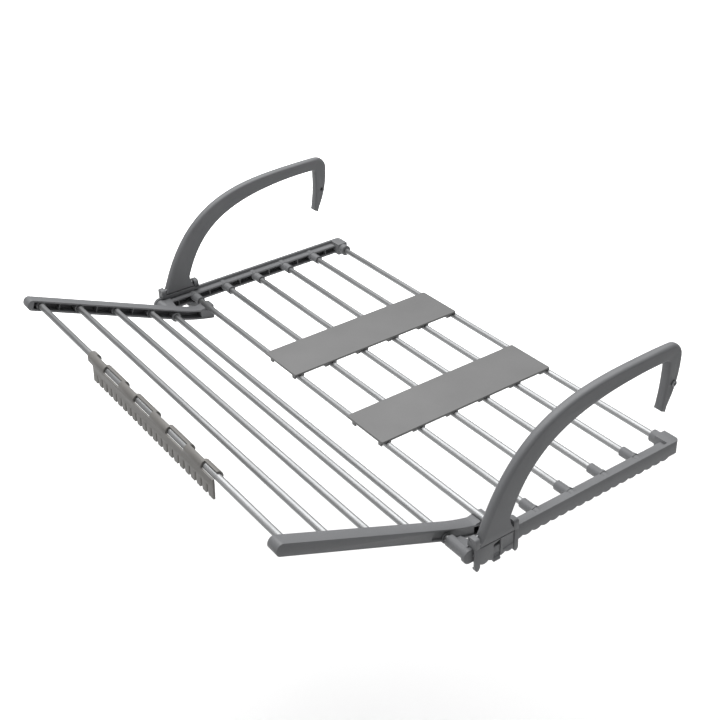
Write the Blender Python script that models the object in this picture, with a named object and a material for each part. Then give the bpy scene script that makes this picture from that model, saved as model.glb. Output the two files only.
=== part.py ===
"""Hook-over drying rack: a tube frame on two side rails, two fold-down hook arms on sliding
carriages, a hinged front wing, a sock comb and two clip-on shelf plates.

Metres, +X along the tubes, +Y to the rear (towards the railing), +Z up. The origin is the middle
of the frame's rear bearing plane, at the height of the tube axes."""

import math

import bmesh
import bpy
from mathutils import Matrix, Vector

MM = 0.001

# Fits
GAP = 0.3 * MM                  # between pieces that touch or run on each other
BORE_GAP = 0.35 * MM            # radial, where a tube or pin passes through a bore

# Main frame
TUBE_RADIUS = 4.0 * MM
TUBE_WALL = 0.8 * MM
TUBE_PITCH = 50.0 * MM
TUBE_COUNT = 7
MOUTH_X = 307.8 * MM            # socket mouths, from the middle
SOCKET_REACH = 18.2 * MM        # a socket stands this far out of its rail
SOCKET_WALL = 1.6 * MM
CORNER_RADIUS = 8.0 * MM        # rear corner sockets and the corner blocks behind them
NOSE_RADIUS = 6.8 * MM          # front corner sockets
NOSE_LENGTH = 14.0 * MM         # the front socket's block, behind the front tube's axis
NOSE_INSET = 1.0 * MM           # its underside is this much higher than the socket's

# Side rail section
RAIL_WIDTH = 14.0 * MM
RAIL_TOP = 4.5 * MM             # above the tube axes
RAIL_BOTTOM = 8.5 * MM          # below the tube axes
FLANGE = 2.2 * MM
RIB_WIDTH = 4.2 * MM            # the rib is the rail's outer wall, raised above its top
RIB_RISE = 4.0 * MM
TOOTH_DEPTH = 2.2 * MM
TOOTH_PITCH = 13.0 * MM
CARRIAGE_TOOTH_PITCH = 11.2 * MM
CORNER_ROUND = 6.0 * MM

# Carriage
CARRIAGE_LENGTH = 58.0 * MM
CARRIAGE_WALL = 4.5 * MM
EAR_LENGTH = 6.4 * MM           # front and rear ears, along the rail
EAR_RISE = 12.5 * MM            # above the rib
EAR_DROP = 19.0 * MM            # below the tube axes
DECK = 3.0 * MM
SHOE = 2.8 * MM                 # runners that close round the rail
SKIRT_SPLIT = 1.2 * MM          # the arm's skirt ends this far above the rib
DECK_MARGIN = 1.0 * MM          # deck beyond the arm's inner face
EAR_BEVEL = 3.0 * MM            # outer upper corner of an ear
EAR_INNER_BEVEL = 4.0 * MM
EAR_TOE = 3.0 * MM              # an ear's lower end tapers over this height
SLOT_ENDS = (4.6 * MM, 8.2 * MM)    # upper end of the lever's slot, at its front and rear
RUNNER_ROOM = 3.0 * MM          # between the lever and the lower runners
PIN_HOLD = 5.0 * MM             # the lever's pin is held this far beyond the slot

# Hook arm
ARM_THICKNESS = 11.6 * MM
ARM_EDGE = 5.0 * MM             # rounding along the back of the arm
ARM_INNER_EDGE = 2.4 * MM       # rounding along its underside
ARM_PIN_RADIUS = 1.5 * MM
ARM_PIN_RISE = 9.5 * MM         # above the rib
ARM_PIN_INSET = 3.6 * MM        # from the arm's inner face
ARM_RISE = 148.0 * MM           # top of the arm above the tube axes
HOOK_REACH = 280.0 * MM         # from the arm's front edge to the back of the hook
HOOK_BEND = 18.0 * MM
SEAT_ROUND = 4.0 * MM           # inside corner between the seat and the tip
HOOK_DEPTH = 84.5 * MM          # from the top of the arm to the hook's lowest point
BAR_DEPTH = 17.5 * MM           # depth of the arm over the railing
TIP_WIDTH = 20.5 * MM
TIP_SCREW_RADIUS = 1.8 * MM
TIP_SCREW_DROP = 49.5 * MM      # below the top of the arm
HEEL_INSET = 4.4 * MM           # the arm narrows by this much behind, above its base
HEEL_RISE = 17.0 * MM
HEEL_BEND = 8.5 * MM            # the narrowing's middle, below its upper end
ARM_STEPS = 10
BASE_STEPS = 4
BASE_SHARE = 0.034              # share of the back's curve that the base's stations take
BACK_FLAT = 37.0 * MM           # the back's curve ends this far from the back of the hook
SEAT_FLAT = 53.0 * MM           # and the underside's curve this far
BACK_PULL = ((0.167, 1.02), (0.509, 0.985))     # shares of the hook's reach and of the arm's rise
UNDER_PULL = ((0.232, 36.0 * MM), (0.387, 4.6 * MM))    # share of the reach, drop below the seat
# the tip's back and its front: in from the back of the hook, up from its lowest point
TIP_BACK = ((1.0 * MM, 31.5 * MM), (12.0 * MM, 10.0 * MM), (16.0 * MM, 2.6 * MM), (18.5 * MM, 0.5 * MM))
TIP_FACE = ((TIP_WIDTH, 36.5 * MM), (24.5 * MM, 15.0 * MM), (26.0 * MM, 8.0 * MM), (23.5 * MM, 2.5 * MM))

# Latch lever
LEVER_THICKNESS = 3.4 * MM
LEVER_WIDTH = 9.0 * MM
LEVER_PIN_RADIUS = 1.0 * MM
LEVER_PIN_DROP = 1.0 * MM       # below the tube axes
LEVER_TAIL = 18.5 * MM          # below the tube axes
NIB = 2.5 * MM                  # reach under the teeth
NIB_THICKNESS = 1.6 * MM
LEVER_HEAD = 1.2 * MM           # above the tube axes
LEVER_LIP = 1.6 * MM            # the finger tab stands this far out
LEVER_TAB = 6.0 * MM            # its height
LEVER_BEVEL = 0.8 * MM

# Wing
WING_TUBES = 4
WING_PITCH = 53.2 * MM
WING_SLOPE = math.radians(23.1)
WING_FIRST = 40.6 * MM          # hinge axis to the nearest wing tube
WING_CLEARANCE = 4.0 * MM       # between a wing rail and the socket mouths
WING_RAIL_WIDTH = 16.2 * MM
WING_RAIL_DEPTH = 14.0 * MM
WING_OFFSET = 3.6 * MM          # centre line of the wing's rail above the hinge axis
WING_WEB = 3.0 * MM
WING_TIP = 12.5 * MM            # rail beyond the outermost tube
WING_TOE = 9.5 * MM             # rail beyond the tube that it rests under
WING_WALL = 2.0 * MM
WING_EASE = math.radians(13.0)  # the rail eases off by this much past the hinge
WING_NOSE = 0.8                 # how full the rail's rounded tip is
WING_BEVEL = 1.2 * MM
WING_MARGIN = 0.6 * MM          # bosses stop this far inside the rail's faces
BOSS_INSET = 1.5 * MM
BOSS_WALL = 2.4 * MM
TOE_START = 12.0 * MM           # solid toe, in front of the tube it rests under
TOE_SLOPE = 3.4 * MM
TOE_EDGE = 0.8 * MM

# Sock comb
COMB_LENGTH = 298.0 * MM
COMB_OFFSET = 16.0 * MM         # middle of the comb, from the middle of the rack
COMB_WALL = 2.2 * MM
COMB_DROP = 25.0 * MM           # tooth ends below the tube's axis
COMB_TEETH = 23
COMB_SLOT = 3.0 * MM
COMB_SLOT_DEPTH = 13.0 * MM
COMB_CLIPS = 4
COMB_CLIP_PITCH = 77.0 * MM
COMB_WINDOW = 40.0 * MM
COMB_END = 42.5 * MM            # from the comb's left end to its first window
COMB_HOOK = 11.0 * MM           # rear hook at the comb's left end
COMB_MARGIN = 3.0 * MM          # the strip behind a window is this much longer at each end
COMB_CLIP_START = -20           # degrees: the clip closes this far past the tube's rear side
COMB_KNEE = 8.0 * MM            # the blade leans out from here, below the tube's axis
COMB_LEAN = 1.2 * MM            # how far its teeth stand out
COMB_SILL = 1.0 * MM            # a window's lower edge is this far below the tube's axis
COMB_TAB = 12.0 * MM            # the clip's left end, where there is no blade under it
COMB_TAB_DROP = 4.5 * MM        # and how far it comes below the tube's axis

# Shelf plates
PLATE_WIDTH = 71.0 * MM
PLATE_THICKNESS = 3.0 * MM
PLATE_PLACES = {"left": -84.0 * MM, "right": 100.0 * MM}    # middle of each plate
PLATE_OVERHANG = 9.0 * MM       # in front of the tube it starts at
PLATE_REAR = 1.5 * MM           # behind the rear tube's axis
PLATE_RADIUS = 2.5 * MM
PLATE_EDGE = 0.5 * MM
PLATE_LIFT = 0.4 * MM           # plate above the tubes' clearance
CLIP_WIDTH = 6.0 * MM
CLIP_SPACING = 52.0 * MM
CLIP_DROP = 3.0 * MM            # fingers reach this far below the tube axes
CLIP_FINGER = 9.0 * MM          # from a tube's axis to the end of its clip's fingers
CLIP_INSET = 3.0 * MM           # rib behind the plate's front edge

TUBE_SIDES = 16
BORE_SIDES = 16
PIN_SIDES = 16
BOSS_SIDES = 24

PLASTIC_GREY = (0.20, 0.20, 0.205, 1.0)
PLATE_GREY = (0.23, 0.23, 0.235, 1.0)
COMB_GREY = (0.21, 0.205, 0.19, 1.0)
STEEL = (0.62, 0.62, 0.61, 1.0)

# Places that follow from the sizes above
RAIL_INNER = MOUTH_X + SOCKET_REACH
RAIL_OUTER = RAIL_INNER + RAIL_WIDTH
RIB_INNER = RAIL_OUTER - RIB_WIDTH
RIB_TOP = RAIL_TOP + RIB_RISE
REAR_TUBE_Y = -CORNER_RADIUS
FRONT_TUBE_Y = REAR_TUBE_Y - TUBE_PITCH * (TUBE_COUNT - 1)
TUBE_END = RIB_INNER + RIB_WIDTH / 2
TEETH_BOTTOM = -RAIL_BOTTOM - TOOTH_DEPTH
BORE_RADIUS = TUBE_RADIUS + BORE_GAP
SOCKET_RADIUS = BORE_RADIUS + SOCKET_WALL
SOCKET_CREST = max(RAIL_TOP, SOCKET_RADIUS / math.cos(math.pi / BORE_SIDES))

CARRIAGE_FRONT = FRONT_TUBE_Y + 3.0 * MM
CARRIAGE_REAR = CARRIAGE_FRONT + CARRIAGE_LENGTH
BASE_FRONT = CARRIAGE_FRONT + EAR_LENGTH + GAP
BASE_REAR = CARRIAGE_REAR - EAR_LENGTH - GAP
SHOE_FRONT = FRONT_TUBE_Y + NOSE_RADIUS + 4 * GAP
WALL_INNER = RAIL_OUTER + GAP
WALL_OUTER = WALL_INNER + CARRIAGE_WALL
DECK_TOP = RIB_TOP + GAP + DECK
ARM_OUTER = WALL_OUTER
ARM_INNER = ARM_OUTER - ARM_THICKNESS
ARM_PIN_X = ARM_INNER + ARM_PIN_INSET
ARM_PIN_Z = RIB_TOP + ARM_PIN_RISE
ARM_BASE_Z = DECK_TOP + GAP
SKIRT_BOTTOM = RIB_TOP + SKIRT_SPLIT
TIP_SCREW_Z = ARM_RISE - TIP_SCREW_DROP

WING_OUTER_X = MOUTH_X - WING_CLEARANCE
WING_INNER_X = WING_OUTER_X - WING_RAIL_WIDTH
WING_DIRECTION = Vector((0.0, -math.cos(WING_SLOPE), math.sin(WING_SLOPE)))


def tube_y(number):
    """Centre of a main tube, counted from 1 at the rear."""
    return REAR_TUBE_Y - TUBE_PITCH * (number - 1)


def wing_tube_place(number):
    """Centre of a wing tube, counted from 1 at the outer edge."""
    along = WING_FIRST + WING_PITCH * (WING_TUBES - number)
    hinge = Vector((0.0, FRONT_TUBE_Y, 0.0))
    normal = Vector((0.0, math.sin(WING_SLOPE), math.cos(WING_SLOPE)))
    return hinge + WING_DIRECTION * along + normal * WING_OFFSET


# ---------------------------------------------------------------- tools

def clear_scene():
    for item in list(bpy.data.objects):
        bpy.data.objects.remove(item, do_unlink=True)


def finish(name, colour, roughness, metallic):
    material = bpy.data.materials.new(name)
    material.use_nodes = True
    shader = material.node_tree.nodes["Principled BSDF"]
    shader.inputs["Base Color"].default_value = colour
    shader.inputs["Roughness"].default_value = roughness
    shader.inputs["Metallic"].default_value = metallic
    return material


def object_from(name, mesh_data):
    bmesh.ops.recalc_face_normals(mesh_data, faces=mesh_data.faces)
    mesh = bpy.data.meshes.new(name)
    mesh_data.to_mesh(mesh)
    mesh_data.free()
    item = bpy.data.objects.new(name, mesh)
    bpy.context.collection.objects.link(item)
    return item


def place(axis, across, along):
    """A point from its two coordinates across an axis and its place along it."""
    first, second = across
    return {"x": (along, first, second), "y": (first, along, second), "z": (first, second, along)}[axis]


def prism(name, outline, axis, start, end):
    """A closed outline, drawn across an axis, made solid from start to end along it."""
    data = bmesh.new()
    corners = [data.verts.new(place(axis, point, start)) for point in outline]
    face = data.faces.new(corners)
    moved = bmesh.ops.extrude_face_region(data, geom=[face])["geom"]
    shift = Vector(place(axis, (0.0, 0.0), end - start))
    bmesh.ops.translate(data, vec=shift, verts=[v for v in moved if isinstance(v, bmesh.types.BMVert)])
    return object_from(name, data)


def box(name, low, high):
    outline = [(low[0], low[1]), (high[0], low[1]), (high[0], high[1]), (low[0], high[1])]
    return prism(name, outline, "z", low[2], high[2])


def circle(centre, radius, sides):
    """A polygon whose flats touch the circle, with a flat at each side."""
    reach = radius / math.cos(math.pi / sides)
    angles = [math.tau * (step + 0.5) / sides for step in range(sides)]
    return [(centre[0] + reach * math.cos(a), centre[1] + reach * math.sin(a)) for a in angles]


def arc(centre, radius, start, end, steps):
    """Points along an arc, angles in degrees."""
    angles = [math.radians(start + (end - start) * step / steps) for step in range(steps + 1)]
    return [(centre[0] + radius * math.cos(a), centre[1] + radius * math.sin(a)) for a in angles]


def combine(item, other, operation):
    """Apply a boolean to item and remove the other object."""
    modifier = item.modifiers.new(operation.lower(), "BOOLEAN")
    modifier.operation = operation
    modifier.solver = "EXACT"
    modifier.object = other
    depsgraph = bpy.context.evaluated_depsgraph_get()
    mesh = bpy.data.meshes.new_from_object(item.evaluated_get(depsgraph))
    item.modifiers.remove(modifier)
    mesh.name = item.name
    item.data = mesh
    bpy.data.objects.remove(other, do_unlink=True)
    return item


def join(item, *others):
    for other in others:
        combine(item, other, "UNION")
    return item


def cut(item, *others):
    for other in others:
        combine(item, other, "DIFFERENCE")
    return item


def rounded(item, width, segments, chosen):
    """Bevel the edges that a test picks by their two ends."""
    data = bmesh.new()
    data.from_mesh(item.data)
    edges = [edge for edge in data.edges if chosen(edge.verts[0].co, edge.verts[1].co)]
    bmesh.ops.bevel(data, geom=edges, offset=width, segments=segments, profile=0.5, affect="EDGES",
                    clamp_overlap=True)
    data.to_mesh(item.data)
    data.free()
    return item


def smooth(item):
    item.data.shade_smooth()
    item.data.set_sharp_from_angle(angle=math.radians(35))


def on_axis(item, point):
    """Put an object's origin on a joint's axis, its shape staying where it is."""
    item.data.transform(Matrix.Translation(-Vector(point)))
    item.location = point


def complete(item, name, material, origin=(0.0, 0.0, 0.0)):
    item.name = name
    item.data.name = name
    item.data.materials.clear()
    item.data.materials.append(material)
    smooth(item)
    on_axis(item, origin)
    return item


def mirrored(item, name, material, origin=(0.0, 0.0, 0.0)):
    """The left-hand twin of a finished right-hand piece."""
    mesh = item.data.copy()
    mesh.transform(Matrix.Translation(item.location))
    mesh.transform(Matrix.Diagonal((-1.0, 1.0, 1.0, 1.0)))
    mesh.flip_normals()
    twin = bpy.data.objects.new(name, mesh)
    bpy.context.collection.objects.link(twin)
    return complete(twin, name, material, (-origin[0], origin[1], origin[2]))


def both_sides(item, name, material, origin=(0.0, 0.0, 0.0)):
    complete(item, "right_" + name, material, origin)
    mirrored(item, "left_" + name, material, origin)


# ---------------------------------------------------------------- tubes

def make_tube(name, half_length, centre, material):
    tube = prism(name, circle(centre, TUBE_RADIUS, TUBE_SIDES), "x", -half_length, half_length)
    bore = prism("bore", circle(centre, TUBE_RADIUS - TUBE_WALL, TUBE_SIDES), "x",
                 -half_length - MM, half_length + MM)
    cut(tube, bore)
    complete(tube, name, material, (0.0, centre[0], centre[1]))


def make_tubes(steel):
    for number in range(1, TUBE_COUNT + 1):
        make_tube(f"rack_tube_{number}", TUBE_END - GAP, (tube_y(number), 0.0), steel)
    for number in range(1, WING_TUBES + 1):
        centre = wing_tube_place(number)
        make_tube(f"wing_tube_{number}", WING_OUTER_X - WING_WEB / 2 - GAP, (centre.y, centre.z), steel)


# ---------------------------------------------------------------- side rails

def toothed_edge(front, rear, base, depth, spacing):
    """Scallops along a lower edge, from rear to front, each hollow between two teeth at base."""
    count = max(1, round((rear - front) / spacing))
    pitch = (rear - front) / count
    points = []
    for tooth in range(count):
        start = rear - pitch * tooth
        for share, drop in ((0.0, 0.0), (0.22, 0.75), (0.5, 1.0), (0.78, 0.75)):
            points.append((start - pitch * share, base - depth * drop))
    points.append((front, base))
    return points


def rear_corner():
    """Closed block at a rail's rear end, with the round socket that turns inward from it."""
    outer = RAIL_OUTER - CORNER_ROUND
    rear = REAR_TUBE_Y + CORNER_RADIUS
    front = REAR_TUBE_Y - CORNER_RADIUS
    inner = RAIL_INNER - SOCKET_REACH / 2
    outline = [(inner, front), (inner, rear)] + arc((outer, rear - CORNER_ROUND), CORNER_ROUND, 90, 0, 5)
    outline += [(RAIL_OUTER, front)]
    block = prism("block", outline, "z", -RAIL_BOTTOM, RIB_TOP)
    nose = circle((REAR_TUBE_Y, 0.0), CORNER_RADIUS - GAP, BOSS_SIDES)
    return join(block, prism("nose", nose, "x", MOUTH_X, inner + MM))


def make_side_rails(plastic):
    front = FRONT_TUBE_Y
    rear = REAR_TUBE_Y
    middle = (RIB_TOP - RAIL_BOTTOM) / 2
    half = (RIB_TOP + RAIL_BOTTOM) / 2
    edge = toothed_edge(front + NOSE_RADIUS, rear - CORNER_RADIUS, -RAIL_BOTTOM, TOOTH_DEPTH, TOOTH_PITCH)
    outline = [(rear, RIB_TOP), (rear, -RAIL_BOTTOM)] + edge
    outline += arc((front, middle), half, 270, 90, 10)
    rail = prism("rail", outline, "x", RIB_INNER, RAIL_OUTER)
    overlap = RIB_INNER + RIB_WIDTH / 2
    join(rail, box("top", (RAIL_INNER, front, RAIL_TOP - FLANGE), (overlap, rear, RAIL_TOP)))
    join(rail, box("base", (RAIL_INNER, front, -RAIL_BOTTOM), (overlap, rear, -RAIL_BOTTOM + FLANGE)))
    for number in range(2, TUBE_COUNT):
        socket = circle((tube_y(number), 0.0), SOCKET_RADIUS, BORE_SIDES)
        join(rail, prism("socket", socket, "x", MOUTH_X, overlap))
    nose = circle((front, 0.0), NOSE_RADIUS, BOSS_SIDES)
    join(rail, rear_corner(), prism("nose", nose, "x", MOUTH_X, overlap))
    back = front + NOSE_LENGTH
    low = -NOSE_RADIUS + NOSE_INSET
    cheek_outer = RIB_INNER - SHOE - 2 * GAP
    cheek = [(MOUTH_X, low), (cheek_outer, low), (cheek_outer, NOSE_RADIUS), (MOUTH_X, -NOSE_INSET)]
    join(rail, prism("cheek", cheek, "y", front, back))
    for number in range(1, TUBE_COUNT + 1):
        bore = circle((tube_y(number), 0.0), BORE_RADIUS, BORE_SIDES)
        cut(rail, prism("bore", bore, "x", MOUTH_X - MM, TUBE_END))
    both_sides(rail, "side_rail", plastic)


# ---------------------------------------------------------------- carriages

def make_carriages(plastic):
    wall_edge = toothed_edge(BASE_FRONT, BASE_REAR, TEETH_BOTTOM - SHOE / 2, TOOTH_DEPTH,
                             CARRIAGE_TOOTH_PITCH)
    wall_top = SKIRT_BOTTOM - GAP
    wall = [(CARRIAGE_FRONT, wall_top), (CARRIAGE_REAR, wall_top), (CARRIAGE_REAR, -EAR_DROP + EAR_TOE),
            (CARRIAGE_REAR - EAR_LENGTH / 2, -EAR_DROP), (BASE_REAR, -EAR_DROP + EAR_TOE + MM)]
    wall += wall_edge
    wall += [(BASE_FRONT, -EAR_DROP + EAR_TOE), (CARRIAGE_FRONT + EAR_LENGTH / 2, -EAR_DROP - MM),
             (CARRIAGE_FRONT, -EAR_DROP + EAR_TOE)]
    carriage = prism("carriage", wall, "x", WALL_INNER, WALL_OUTER)
    deck_inner = ARM_INNER - DECK_MARGIN
    deck_low = RIB_TOP + GAP
    deck = [(deck_inner, deck_low), (WALL_INNER + MM, deck_low), (WALL_INNER + MM, wall_top - GAP / 2),
            (WALL_INNER, wall_top), (WALL_INNER, DECK_TOP), (deck_inner, DECK_TOP)]
    join(carriage, prism("deck", deck, "y", CARRIAGE_FRONT, CARRIAGE_REAR))
    for front in (CARRIAGE_FRONT, CARRIAGE_REAR - EAR_LENGTH):
        top = RIB_TOP + EAR_RISE
        ear = [(deck_inner, deck_low), (WALL_OUTER, deck_low), (WALL_OUTER, top - EAR_BEVEL),
               (WALL_OUTER - EAR_BEVEL, top), (deck_inner + EAR_INNER_BEVEL, top),
               (deck_inner, top - EAR_INNER_BEVEL)]
        join(carriage, prism("ear", ear, "y", front, front + EAR_LENGTH))
    # runners: one inside the rib above, one round the lower flange below
    upper_outer = RIB_INNER - GAP
    join(carriage, box("upper_runner", (upper_outer - SHOE, SHOE_FRONT, SOCKET_CREST + GAP),
                       (upper_outer, CARRIAGE_REAR, deck_low + MM)))
    lip_outer = RAIL_INNER - GAP
    runner_low = TEETH_BOTTOM - GAP - SHOE
    lip_top = min(-RAIL_BOTTOM + FLANGE, -SOCKET_CREST) - GAP
    lower = [(lip_outer - SHOE, runner_low), (WALL_INNER + MM, runner_low),
             (WALL_INNER + MM, TEETH_BOTTOM - GAP), (lip_outer, TEETH_BOTTOM - GAP),
             (lip_outer, lip_top), (lip_outer - SHOE, lip_top)]
    middle = (CARRIAGE_FRONT + CARRIAGE_REAR) / 2
    window = LEVER_WIDTH / 2 + RUNNER_ROOM
    join(carriage, prism("front_runner", lower, "y", SHOE_FRONT, middle - window))
    join(carriage, prism("rear_runner", lower, "y", middle + window, CARRIAGE_REAR - EAR_LENGTH))
    # slot for the latch lever, its upper end slanting, and the bore for its pin
    half = LEVER_WIDTH / 2 + GAP
    slot_low = -EAR_DROP - MM
    slot = [(middle - half, slot_low), (middle + half, slot_low), (middle + half, SLOT_ENDS[1]),
            (middle - half, SLOT_ENDS[0])]
    cut(carriage, prism("slot", slot, "x", WALL_INNER - MM, WALL_OUTER + MM))
    pin_x = (WALL_INNER + WALL_OUTER) / 2
    pin = circle((pin_x, -LEVER_PIN_DROP), LEVER_PIN_RADIUS + GAP, PIN_SIDES)
    cut(carriage, prism("pin_bore", pin, "y", middle - half - PIN_HOLD, middle + half + PIN_HOLD))
    arm_pin = circle((ARM_PIN_X, ARM_PIN_Z), ARM_PIN_RADIUS + GAP, PIN_SIDES)
    cut(carriage, prism("arm_bore", arm_pin, "y", CARRIAGE_FRONT - MM, CARRIAGE_REAR + MM))
    both_sides(carriage, "carriage", plastic)


def make_latches(plastic, steel):
    middle = (CARRIAGE_FRONT + CARRIAGE_REAR) / 2
    pin_x = (WALL_INNER + WALL_OUTER) / 2
    inner = WALL_INNER + GAP
    outer = inner + LEVER_THICKNESS
    nib_top = TEETH_BOTTOM - GAP
    nib_low = nib_top - NIB_THICKNESS
    section = [(inner, LEVER_HEAD), (inner, nib_top), (inner - NIB, nib_top), (inner - NIB, nib_low),
               (inner, nib_low - NIB), (inner, -LEVER_TAIL + LEVER_TAB / 6),
               (outer + LEVER_LIP - LEVER_BEVEL, -LEVER_TAIL),
               (outer + LEVER_LIP, -LEVER_TAIL + LEVER_TAB / 3),
               (outer, -LEVER_TAIL + LEVER_TAB), (outer, LEVER_HEAD - LEVER_BEVEL),
               (outer - LEVER_BEVEL, LEVER_HEAD)]
    lever = prism("lever", section, "y", middle - LEVER_WIDTH / 2, middle + LEVER_WIDTH / 2)
    bore = circle((pin_x, -LEVER_PIN_DROP), LEVER_PIN_RADIUS + GAP, PIN_SIDES)
    cut(lever, prism("bore", bore, "y", middle - LEVER_WIDTH, middle + LEVER_WIDTH))
    axis = (pin_x, middle, -LEVER_PIN_DROP)
    both_sides(lever, "latch_lever", plastic, axis)
    reach = LEVER_WIDTH / 2 + PIN_HOLD - GAP
    pin = prism("pin", circle((pin_x, -LEVER_PIN_DROP), LEVER_PIN_RADIUS, PIN_SIDES), "y",
                middle - reach, middle + reach)
    both_sides(pin, "latch_pin", steel)


# ---------------------------------------------------------------- hook arms

def curve_point(points, share):
    """The point at a share of the way along a cubic curve's parameter."""
    a, b, c, d = (Vector(point) for point in points)
    rest = 1.0 - share
    return a * rest ** 3 + b * 3 * rest * rest * share + c * 3 * rest * share * share + d * share ** 3


def arm_stations():
    """Pairs of points, y and z, on an arm's back and underside, from its base to the hook's tip."""
    front = BASE_FRONT
    back = front + HOOK_REACH
    rise = ARM_RISE - ARM_BASE_Z
    low = ARM_RISE - HOOK_DEPTH
    face = back - TIP_WIDTH
    seat = ARM_RISE - BAR_DEPTH
    heel = BASE_REAR - HEEL_INSET
    heel_z = ARM_BASE_Z + HEEL_RISE
    pulls = [(front + share * HOOK_REACH, ARM_BASE_Z + part * rise) for share, part in BACK_PULL]
    back_curve = [(front, ARM_BASE_Z)] + pulls + [(back - BACK_FLAT, ARM_RISE)]
    pulls = [(front + share * HOOK_REACH, seat - drop) for share, drop in UNDER_PULL]
    under_curve = [(heel, heel_z)] + pulls + [(back - SEAT_FLAT, seat)]
    outer = [curve_point(back_curve, BASE_SHARE * step / BASE_STEPS) for step in range(BASE_STEPS)]
    rest = 1.0 - BASE_SHARE
    outer += [curve_point(back_curve, BASE_SHARE + rest * step / ARM_STEPS) for step in range(ARM_STEPS + 1)]
    bend_z = heel_z - HEEL_BEND
    inner = [(BASE_REAR, ARM_BASE_Z), (BASE_REAR, bend_z - HEEL_INSET / 2),
             (heel + HEEL_INSET / 4, bend_z), (heel, (heel_z + bend_z) / 2)]
    inner += [curve_point(under_curve, step / ARM_STEPS) for step in range(ARM_STEPS + 1)]
    outer += arc((back - HOOK_BEND, ARM_RISE - HOOK_BEND), HOOK_BEND, 90, 0, 5)
    inner += arc((face - SEAT_ROUND, seat - SEAT_ROUND), SEAT_ROUND, 90, 0, 5)
    outer += [(back - inward, low + up) for inward, up in TIP_BACK]
    inner += [(back - inward, low + up) for inward, up in TIP_FACE]
    return [(Vector(a), Vector(b)) for a, b in zip(outer, inner)]


def arm_section(outer, inner, share):
    """A ring across the arm: round along its back, less so along its underside."""
    depth = (inner - outer).length
    half = ARM_THICKNESS / 2
    back_round = ARM_EDGE * share
    under_round = min(ARM_INNER_EDGE * share, depth / 3)
    flat = [(-half + back_round, back_round, back_round, 180, 270, 3),
            (half - back_round, back_round, back_round, 270, 360, 3),
            (half - under_round, depth - under_round, under_round, 0, 90, 2),
            (-half + under_round, depth - under_round, under_round, 90, 180, 2)]
    middle = (ARM_INNER + ARM_OUTER) / 2
    ring = []
    for across, down, radius, start, end, steps in flat:
        for x, drop in arc((across, down), radius, start, end, steps):
            point = outer + (inner - outer) * (drop / depth)
            ring.append((middle + x, point.x, point.y))
    return ring


def arm_blank():
    """The arm's body, lofted through its stations."""
    stations = arm_stations()
    growth = [0.1, 0.4, 0.7, 0.9]      # the rounding grows out of the square base
    data = bmesh.new()
    rings = []
    for number, (outer, inner) in enumerate(stations):
        share = growth[number] if number < len(growth) else 1.0
        if number == len(stations) - 1:
            share = growth[1]
        rings.append([data.verts.new(point) for point in arm_section(outer, inner, share)])
    for ring, following in zip(rings, rings[1:]):
        for number in range(len(ring)):
            other = (number + 1) % len(ring)
            data.faces.new((ring[number], ring[other], following[other], following[number]))
    data.faces.new(rings[0])
    data.faces.new(rings[-1])
    return object_from("arm", data)


def make_arms(plastic, steel):
    arm = arm_blank()
    join(arm, box("skirt", (WALL_INNER + GAP, BASE_FRONT, SKIRT_BOTTOM),
                  (ARM_OUTER, BASE_REAR, ARM_BASE_Z + 2.0 * MM)))
    # the base turns about the pin, so its inner lower corner is round
    turn = ARM_PIN_Z - ARM_BASE_Z
    relief = [(ARM_PIN_X - 2 * turn, ARM_PIN_Z)] + arc((ARM_PIN_X, ARM_PIN_Z), turn, 180, 270, 6)
    relief += [(ARM_PIN_X, ARM_BASE_Z - 2 * MM), (ARM_PIN_X - 2 * turn, ARM_BASE_Z - 2 * MM)]
    cut(arm, prism("relief", relief, "y", BASE_FRONT - MM, BASE_REAR + MM))
    bore = circle((ARM_PIN_X, ARM_PIN_Z), ARM_PIN_RADIUS + GAP, PIN_SIDES)
    cut(arm, prism("bore", bore, "y", BASE_FRONT - MM, BASE_REAR + MM))
    screw_y = BASE_FRONT + HOOK_REACH - TIP_WIDTH / 2 - MM
    hole = circle((screw_y, TIP_SCREW_Z), TIP_SCREW_RADIUS + GAP, PIN_SIDES)
    cut(arm, prism("hole", hole, "x", ARM_INNER - MM, ARM_OUTER + MM))
    axis = (ARM_PIN_X, BASE_FRONT, ARM_PIN_Z)
    both_sides(arm, "hook_arm", plastic, axis)
    pin = prism("pin", circle((ARM_PIN_X, ARM_PIN_Z), ARM_PIN_RADIUS, PIN_SIDES), "y",
                CARRIAGE_FRONT + GAP, CARRIAGE_REAR - GAP)
    both_sides(pin, "arm_pin", steel)
    shank = prism("shank", circle((screw_y, TIP_SCREW_Z), TIP_SCREW_RADIUS, PIN_SIDES), "x",
                  ARM_INNER + 3.0 * MM, ARM_OUTER + MM)
    head = prism("head", circle((screw_y, TIP_SCREW_Z), 2 * TIP_SCREW_RADIUS, PIN_SIDES), "x",
                 ARM_OUTER + GAP, ARM_OUTER + 2.0 * MM)
    both_sides(join(shank, head), "tip_screw", steel)


# ---------------------------------------------------------------- wing

def wing_centre_line():
    """The rail's centre line, y and z, from its outer tip to its toe under the next tube."""
    hinge = Vector((FRONT_TUBE_Y, 0.0))
    along = Vector((-math.cos(WING_SLOPE), math.sin(WING_SLOPE)))
    normal = Vector((math.sin(WING_SLOPE), math.cos(WING_SLOPE)))
    tip = WING_FIRST + WING_PITCH * (WING_TUBES - 1) + WING_TIP
    base = hinge + normal * WING_OFFSET
    line = [base + along * tip]
    # past the hinge the rail eases off to a gentler slope
    length = TUBE_PITCH + WING_TOE
    steps = 6
    point = base.copy()
    line.append(point.copy())
    for step in range(steps):
        angle = WING_SLOPE - WING_EASE * (step + 0.5) / steps
        point += Vector((math.cos(angle), -math.sin(angle))) * (length / steps)
        line.append(point.copy())
    return line


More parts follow.
